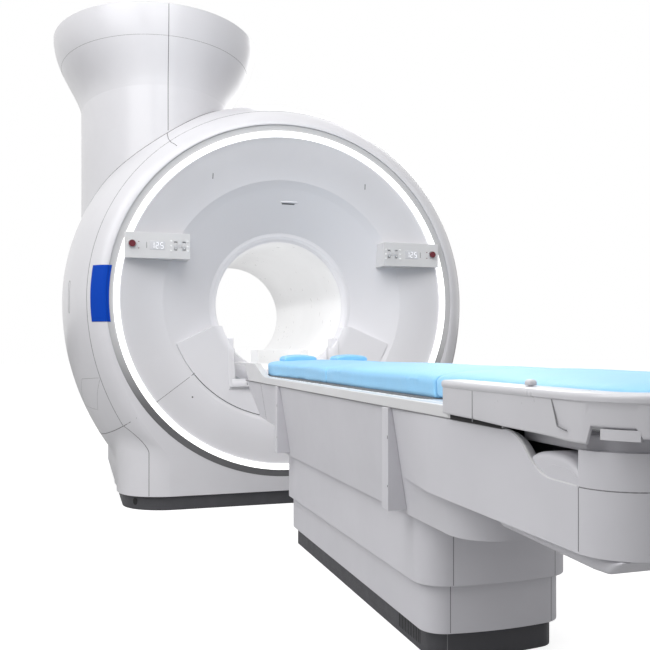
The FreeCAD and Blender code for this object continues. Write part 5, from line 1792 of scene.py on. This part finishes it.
    def vents(self) -> None:
        """The rows of upright vent slots low on the plinth's sides, as black caps whose colour is painted
        shade inside the slots.
        """
        probe = Probe(self.shop.frame, ["table_plinth"])
        low, high = self.vent_z
        rows = np.arange(*self.vent_y, self.vent_pitch)
        slots = [
            self.fleck((side * self.vent_far, y, (low + high) / 2), probe, high - low, self.vent_size)
            for side in Side
            for y in rows
        ]
        self.shop.piece(self.shop.join("plinth_vents", slots), SHADE_BLACK, Body.SCANNER)

    def fin_marks(self) -> None:
        """The small fasteners on the outer edges of the fins."""
        probe = Probe(self.shop.frame, ["side_fins"])
        marks = [
            self.fleck((side * self.far, y, z), probe, height, self.fin_mark_size)
            for side in Side
            for y in self.fin_y
            for z, height in self.fin_marks_z
        ]
        self.shop.piece(self.shop.join("fin_fasteners", marks), DARK_SEAM_AND_SHADE, Body.TABLE)

    def dip_lips(self) -> None:
        """The broad bevelled lip inside each side panel's S-shaped dip, and the crease outside it.

        The panel's top edge is probed from above. The lip's section leaves it level, as (out, up),
        falls inwards, as (share of the lip's width, down), and comes back under the edge.
        """
        y = np.linspace(*self.dip_y, 60)
        width = self.lip_width * np.clip((y - self.dip_y[1]) / self.lip_fade, 0.5, 1.0)
        for side in Side:
            probe = Probe(self.shop.frame, [f"side_panel_{side.word}"])
            place, _ = probe.cast(points(side * self.dip_x, y, self.dip_above), DOWN)
            slope = np.gradient(place[:, 2]) / np.gradient(y)
            up = unit(points(0, -slope, 1))
            rows = [place + (side * out, 0, 0) + up * lift for out, lift in self.lip_outer]
            for share, fall in self.lip_inner:
                rows.append(place + points(-side * width * share, 0, 0) - up * fall)
            out, fall = self.lip_under
            rows.append(place - up * fall + (side * out, 0, 0))
            made = closed_tube(f"dip_lip_{side.word}", np.stack(rows, 1))
            self.shop.piece(made, RAIL, Body.TABLE)
            out, fall = self.crease
            edge = place + (side * out, 0, 0) - up * fall
            crease = bead(f"dip_crease_{side.word}", edge, (side, 0, 0), *self.crease_bead)
            self.shop.piece(crease, SEAM, Body.TABLE)

    def hump(self) -> None:
        """The rounded hump of the deck between the two dips.

        Its height over Y is read from knots and averaged over seven places; its section is level
        and rolls down at both sides, by roll * (1 - cos t) at roll * (1 - sin t) from the side.
        """
        knots = np.array(self.hump_line)
        y = np.linspace(knots[0, 0], knots[-1, 0], 40)
        z = np.interp(y, knots[:, 0], knots[:, 1])
        z = np.convolve(np.pad(z, 3, mode="edge"), np.full(7, 1 / 7), mode="valid")[:, None]
        half, roll = self.hump_half, self.hump_roll
        turn = np.linspace(0, math.pi / 2, 6)
        side = np.stack([half - roll + roll * np.sin(turn), roll * np.cos(turn) - roll], -1)
        section = np.concatenate([[(-half, 0.0)], side[::-1] * (-1, 1), side, [(half, 0.0)]])
        height = z + section[:, 1]
        height[:, [0, -1]] = self.waist_height - self.hump_sunk
        rings = points(section[:, 0], y[:, None], height)
        self.shop.piece(closed_tube("deck_hump", rings), TABLE, Body.TABLE)

    def rails(self) -> None:
        """The top rails: one side profile, raised at the nose, drawn across each rail's width."""
        y, z = np.array(self.rail_profile).T
        for side in Side:
            rings = [points(side * x, y, z) for x in self.rail_sides]
            made = closed_tube(f"top_rail_{side.word}_nosed", np.stack(rings))
            roll_edges(made, self.rail_edge, 3, 30)
            self.shop.piece(made, RAIL, Body.TABLE, [f"top_rail_{side.word}"])

    def shade_sheet(self) -> None:
        """A thin dark sheet between the mattress and the tabletop: painted shadow along the mattress's lower
        edge.
        """
        plan = rounded_rectangle(*self.shade_sheet_size, 8)
        foot = (0, *self.shade_sheet_middle)
        made = button("mattress_shade_sheet", plan, foot, UP, AHEAD, self.shade_sheet_thickness, 0.0)
        self.shop.piece(made, DARK_SEAM_AND_SHADE, Body.TABLETOP)

    def rail_shade_strips(self) -> None:
        """Black strips of painted shadow along the rails' outer faces under the tub, lower at their start."""
        out, foot = self.shade_strip_place
        width, height, corner = self.shade_strip_size
        for side in Side:
            rings = []
            for y in np.linspace(*self.shade_strip_span, 8):
                tall = height * min(1.0, (y - self.shade_strip_rise[0]) / self.shade_strip_rise[1] + self.shade_strip_least)
                shape = rounded_rectangle(width, tall, corner, 3) + (side * out, foot + tall / 2)
                rings.append(points(shape[:, 0], y, shape[:, 1]))
            self.shop.piece(closed_tube(f"rail_seal_{side.word}", np.stack(rings)), SHADE_BLACK, Body.TABLE)

    def rail_stops(self) -> None:
        """The curved stops on the foot cap, which stand in the tub's notches when it is out."""
        x, y, radius = self.stop_bend
        outer, inner = self.stop_radii
        angle = np.arccos(np.linspace(*self.stop_span, 10) / radius)
        out = np.stack([np.cos(angle), -np.sin(angle)], -1)
        for side in Side:
            loop = np.concatenate([(x, y) + out * outer, ((x, y) + out * inner)[::-1]]) * (side, 1)
            rings = [at_height(loop, z) for z in self.stop_levels]
            self.shop.piece(closed_tube(f"rail_stop_{side.word}", np.stack(rings)), TUB, Body.TABLE)

    def foot_cap(self) -> None:
        """The shallow raised cap on top of the foot end cover, over which the tub passes."""
        turn = np.linspace(0, math.pi / 2, 14)[6:]
        rings = []
        for z, inset in self.cap_levels:
            half, end, corner = self.cap_half - inset, self.cap_end + inset, self.cap_corner - inset
            x, y = corner - half - corner * np.cos(turn), corner + end - corner * np.sin(turn)
            left = np.concatenate([[[-half, self.cap_start - inset]], np.stack([x, y], -1)])
            rings.append(at_height(np.concatenate([left, (left * (-1, 1))[::-1]]), z))
        self.shop.piece(closed_tube("foot_cap", np.stack(rings)), TABLE, Body.TABLE)

    def build(self) -> None:
        """Makes all of it."""
        self.body_seams()
        self.pedestal_seams()
        self.vents()
        self.fin_marks()
        self.dip_lips()
        self.hump()
        self.foot_cap()
        self.rails()
        self.shade_sheet()
        self.rail_shade_strips()
        self.rail_stops()


@dataclass
class Tub:
    """The tub round the foot of the mattress, with its level rim, floor and brackets, in metres."""

    shop: Workshop
    start: float = -3.642
    flare_end: float = -3.780
    narrow: float = 0.303
    wide: float = 0.310
    end: float = -4.334
    corner: float = 0.170
    inner_half: float = 0.250
    inner_end: float = -4.246
    inner_corner: float = 0.055
    top: float = 0.7455
    lip: float = 0.0030
    wall: float = 0.007
    floor_low: float = 0.6903
    floor_high: float = 0.6957
    notch: Pair = (0.2575, 0.3035)  # x
    notch_height: float = 0.6920
    notch_y: float = -4.2
    lean: float = 0.0045
    least_lean: float = 0.0005
    lean_y: Pair = (-3.93, 0.12)  # y, length
    floor_gap: float = 0.004
    floor_trim: float = 0.001
    bracket_place: Pair = (0.233, -4.025)  # x, y
    bracket_size: Triple = (0.042, 0.226, 0.010)  # width, length, corner
    bracket_levels: tuple[Pair, ...] = (  # z, inset
        (0.6400, 0.006),
        (0.6406, 0.003),
        (0.6425, 0.0010),
        (0.6460, 0.0),
        (0.6903, 0.0),
    )
    front_size: Pair = (0.022, 0.006)  # depth, corner
    front_gap: float = 0.001
    front_behind: float = 0.0105
    front_foot: float = 0.6985
    front_drop: float = 0.006
    seam_bead: Pair = (0.0013, 0.0007)  # radius, sunk
    seam_far: float = 0.6
    front_joint: tuple[Pair, ...] = ((-3.806, 0.733), (-3.806, 0.667))  # y, z
    rear_joint: tuple[Pair, ...] = ((-4.112, 0.731), (-4.131, 0.686), (-4.158, 0.681))  # y, z
    knob_place: Pair = (-0.280, -3.990)  # x, y
    knob_profile: tuple[Pair, ...] = (  # radius, z
        (0.0050, 0.6975),
        (0.0050, 0.7468),
        (0.0100, 0.7472),
        (0.0110, 0.7490),
        (0.0110, 0.7530),
        (0.0100, 0.7556),
        (0.0078, 0.7573),
        (0.0045, 0.7582),
        (0.0008, 0.7585),
    )
    bottom_line: tuple[Pair, ...] = (  # y, z
        (-4.334, 0.6765),
        (-4.287, 0.6765),
        (-4.240, 0.6630),
        (-4.150, 0.6626),
        (-4.105, 0.6650),
        (-3.950, 0.6680),
        (-3.800, 0.6720),
        (-3.642, 0.6720),
    )

    def plan(
        self, start_half: float, half: float, end: float, corner: float, trim: float = 0.0
    ) -> np.ndarray:
        """Plan from the left start, round the foot end, to the right start.

        Straight runs to each corner, then quarter circles, with the same counts for every plan.
        """
        turn = np.linspace(0, math.pi / 2, 28)
        left = np.concatenate(
            [
                line((-start_half, self.start - trim), (-half, self.flare_end), 8)[:-1],
                line((-half, self.flare_end), (-half, end + corner), 24)[:-1],
                np.stack([-half + corner - corner * np.cos(turn), end + corner - corner * np.sin(turn)], -1),
            ]
        )
        across = line((-half + corner, end), (half - corner, end), 12)[1:-1]
        return np.concatenate([left, across, (left * (-1, 1))[::-1]])

    def shell(self) -> bpy.types.Object:
        """The wall and rim as one closed section carried round the plan.

        The wall leans in a little below and ends at a height read from knots over Y; at the
        notches it ends higher, where the rails pass as the tabletop goes in. The section runs up
        the outside, over the rim and down the inside.
        """
        outer = self.plan(self.narrow, self.wide, self.end, self.corner)
        inner = self.plan(self.inner_half, self.inner_half, self.inner_end, self.inner_corner)
        ahead = unit(np.gradient(outer, axis=0))
        away = np.stack([ahead[:, 1], -ahead[:, 0]], -1)
        away *= -np.sign(away[0, 0])
        x, y = np.abs(outer[:, 0]), outer[:, 1]
        knots = np.array(self.bottom_line)
        bottom = np.interp(y, knots[:, 0], knots[:, 1])
        notched = (x > self.notch[0]) & (x < self.notch[1]) & (y < self.notch_y)
        bottom = np.where(notched, self.notch_height, bottom)
        start, length = self.lean_y
        lean = self.lean * np.clip((start - y) / length, 0, 1) + self.least_lean

        def at(out: Any, z: Any) -> np.ndarray:
            """The outer plan moved outwards, at a height."""
            return at_height(outer + away * np.reshape(out, (-1, 1)), z)

        lip, top, wall = self.lip, self.top, self.wall
        rows = [
            at(lean * -0.5, bottom * 0.5 + top * 0.5),
            at(lean * -0.15, top - 0.0165),
            at(lip * 0.8, top - 0.0135),
            at(lip, top - 0.0090),
            at(lip * 0.9, top - 0.0050),
            at(lip * 0.35, top - 0.0020),
            at(lip * -0.6, top - 0.0005),
            at(lip * -2.0, top),
            at_height(outer * 0.5 + inner * 0.5, top + 0.0004),
            at_height(inner, top),
            at_height(inner, top - 0.0060),
            at(-wall, top - 0.0070),
            at(-wall - lean, bottom + 0.0040),
            at(-wall - lean + 0.001, bottom + 0.0008),
            at(-wall * 0.5 - lean, bottom),
            at(-lean - 0.0014, bottom + 0.0006),
            at(-lean - 0.0003, bottom + 0.0020),
            at(-lean, bottom + 0.0050),
        ]
        return closed_tube("tub_shell", np.stack(rows, 1))

    def floor(self) -> bpy.types.Object:
        """The flat floor under the mattress, inside the wall."""
        inset = self.wall + self.floor_gap
        narrow, wide = self.narrow - inset, self.wide - inset
        loop = self.plan(narrow, wide, self.end + inset, self.corner - inset, self.floor_trim)
        rings = [at_height(loop, z) for z in (self.floor_low, self.floor_high)]
        return closed_tube("tub_floor", np.stack(rings))

    def bracket(self, side: Side) -> bpy.types.Object:
        """The rounded block under the floor at one side."""
        x, y = self.bracket_place
        width, length, corner = self.bracket_size
        rings = []
        for z, inset in self.bracket_levels:
            shape = rounded_rectangle(width - 2 * inset, length - 2 * inset, max(corner - inset, 0.001))
            rings.append(at_height(shape + (side * x, y), z))
        return closed_tube(f"tub_bracket_{side.word}", np.stack(rings))

    def build(self) -> None:
        """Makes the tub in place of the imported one, then its front faces, its seams and the knob."""
        parts = [self.shell(), self.floor(), *(self.bracket(side) for side in Side)]
        self.shop.piece(self.shop.join("foot_tub_shell", parts), TUB, Body.TABLETOP, ["foot_tub"])
        self.fronts()
        self.seams()
        self.knob()

    def fronts(self) -> None:
        """The upright front faces that close the tub beside the mattress."""
        depth, corner = self.front_size
        shape = rounded_rectangle(self.narrow - self.inner_half - self.front_gap, depth, corner)
        for side in Side:
            middle = (side * (self.narrow + self.inner_half) / 2, self.start - self.front_behind)
            heights = np.linspace(self.front_foot, self.top - self.front_drop, 6)
            rings = [at_height(shape + middle, z) for z in heights]
            self.shop.piece(closed_tube(f"tub_front_{side.word}", np.stack(rings)), TUB, Body.TABLETOP)

    def knob(self) -> None:
        """The release knob: a stem with a low domed top, turned about its axis."""
        circle = np.stack(around(32), -1)
        rings = [at_height(circle * radius + self.knob_place, z) for radius, z in self.knob_profile]
        made = closed_tube("release_knob_dome", np.stack(rings))
        self.shop.piece(made, TUB, Body.RELEASE_KNOB, ["release_knob"])

    def seams(self) -> None:
        """The upright joints in the tub's side walls."""
        probe = Probe(self.shop.frame, ["foot_tub"])
        steep, *bent = (
            line((self.seam_far, *start), (self.seam_far, *end), count)
            for start, end, count in (
                (*self.front_joint, 12),
                (*self.rear_joint[:2], 10),
                (*self.rear_joint[1:], 6),
            )
        )
        runs = []
        for side in Side:
            for path in (steep, np.concatenate([bent[0][:-1], bent[1]])):
                laid = probe.cast(path * (side, 1, 1), (-side, 0, 0))
                runs.append(bead(f"tub_seam_{len(runs)}", *laid, *self.seam_bead))
        self.shop.piece(self.shop.join("tub_seams", runs), SEAM, Body.TABLETOP)


@dataclass
class Cushion:
    """A padded piece that swells from a packed form under pressure, as filled cloth does."""

    shop: Workshop
    node: str
    floor: float
    voxel: float = 0.008
    pressure: float = 4.0
    cap: float = 0.004
    fill: float = 0.75
    frames: int = 20
    crown: float = 0.0
    lift: float = 0.0
    quality: int = 4
    stiffness: float = 40.0
    bending: float = 4.0
    crown_height: float = 0.055
    crown_half: float = 0.245
    rest_gap: float = 0.0006

    def start_mesh(self) -> bpy.types.Mesh:
        """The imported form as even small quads."""
        work = bmesh.new()
        work.from_mesh(self.shop.frame["nodes"][self.node].data)
        bmesh.ops.remove_doubles(work, verts=work.verts, dist=WELD)
        mesh = bpy.data.meshes.new(f"{self.node}_start")
        work.to_mesh(mesh)
        work.free()
        rough = link(f"{self.node}_start", mesh)
        remesh = rough.modifiers.new("even", "REMESH")
        remesh.mode, remesh.voxel_size, remesh.adaptivity = "VOXEL", self.voxel, 0.0
        smooth = rough.modifiers.new("relax", "SMOOTH")
        smooth.iterations, smooth.factor = 1, 0.5
        even = bpy.data.meshes.new_from_object(rough.evaluated_get(bpy.context.evaluated_depsgraph_get()))
        bpy.data.objects.remove(rough)
        return even

    def swell(self, made: bpy.types.Object) -> None:
        """Lets pressure swell the skin, and caps how far each point moves.

        Args:
            made: The object, whose mesh is changed.
        """
        rest = mesh_places(made.data)
        cloth = made.modifiers.new("swell", "CLOTH")
        cloth.settings.quality = self.quality
        cloth.settings.use_pressure = True
        cloth.settings.uniform_pressure_force = self.pressure
        cloth.settings.effector_weights.gravity = 0
        cloth.settings.tension_stiffness = cloth.settings.compression_stiffness = self.stiffness
        cloth.settings.bending_stiffness = self.bending
        cloth.point_cache.frame_end = self.frames
        scene = bpy.context.scene
        for step in range(1, self.frames + 1):
            scene.frame_set(step)
        swollen = made.evaluated_get(bpy.context.evaluated_depsgraph_get()).data
        moved = mesh_places(swollen) - rest
        made.modifiers.remove(cloth)
        scene.frame_set(1)
        length = np.linalg.norm(moved, axis=1, keepdims=True)
        moved *= np.minimum(1.0, self.cap / np.maximum(length, 1e-9))
        made.data.vertices.foreach_set("co", (rest + moved).ravel())

    def build(self) -> None:
        """Makes the cushion, flat where it rests and a little crowned in the middle.

        The crown grows with (height / crown_height) ** 2 and falls off with
        1 - (x / crown_half) ** 4.
        """
        mesh = self.start_mesh()
        made = link(f"{self.node}_padded", mesh)
        mesh.name = made.name
        self.swell(made)
        place = mesh_places(mesh)
        share = np.clip((place[:, 2] - self.floor) / self.crown_height, 0, 1) ** 2
        middle = np.clip(1 - (place[:, 0] / self.crown_half) ** 4, 0, 1)
        place[:, 2] += share * middle * self.crown + self.lift
        place[:, 2] = np.maximum(place[:, 2], self.floor + self.rest_gap)
        mesh.vertices.foreach_set("co", place.ravel())
        mesh.update()
        mesh.shade_smooth()
        smooth = made.modifiers.new("smooth", "SUBSURF")
        smooth.levels = smooth.render_levels = 1
        self.shop.piece(made, CLOTH, Body.TABLETOP, [self.node])


ROUNDED_NODES: dict[str, float] = {
    "side_panel_left": 0.004,
    "side_panel_right": 0.004,
    "gantry_end_cover": 0.004,
    "foot_end_cover": 0.004,
    "side_fins": 0.0015,
    "upper_shroud": 0.004,
    "lower_shroud": 0.004,
    "table_plinth": 0.003,
    "casing_skirt": 0.003,
    "tabletop": 0.003,
    "bridge_rails": 0.003,
    "coil_connectors": 0.006,
    "docking_cover": 0.0015,
    "rocker_inner_left": 0.0012,
    "rocker_inner_right": 0.0012,
    "rocker_outer_left": 0.0012,
    "rocker_outer_right": 0.0012,
}


MOULDED_NODES: dict[str, Pair] = {  # edge, least length
    "control_panel_left": (0.011, 0.055),
    "control_panel_right": (0.011, 0.055),
    "lower_tray": (0.010, 0.010),
}

MATTRESSES: dict[str, Pair] = {  # floor, crown
    "mattress_head": (0.690, 0.002),
    "mattress_middle": (0.690, 0.006),
    "mattress_foot": (0.696, 0.008),
}

ARM_PAD: dict[str, float] = {"floor": 0.7505, "voxel": 0.0035, "cap": 0.003, "lift": 0.002}


def main() -> None:
    """Builds the studio and every dressed piece of the scanner."""
    logging.basicConfig(level=logging.INFO, format="%(name)s: %(message)s")
    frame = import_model()
    Eye().make()
    Studio().make()
    shop = Workshop(frame)
    shop.dress_nodes()
    for node, edge in ROUNDED_NODES.items():
        shop.softened(node, edge)
    for node, (edge, least) in MOULDED_NODES.items():
        shop.softened(node, edge, segments=5, least=least)
    CasingSeams(shop).build()
    NamePlate(shop).build()
    Bay(shop).build()
    for side in Side:
        ControlPanel(shop, side).build()
    Table(shop).build()
    Tub(shop).build()
    for node, (floor, crown) in MATTRESSES.items():
        Cushion(shop, node, floor, crown=crown).build()
    for side in Side:
        Cushion(shop, f"arm_pad_{side.word}", **ARM_PAD).build()


if __name__ == "__main__":
    main()
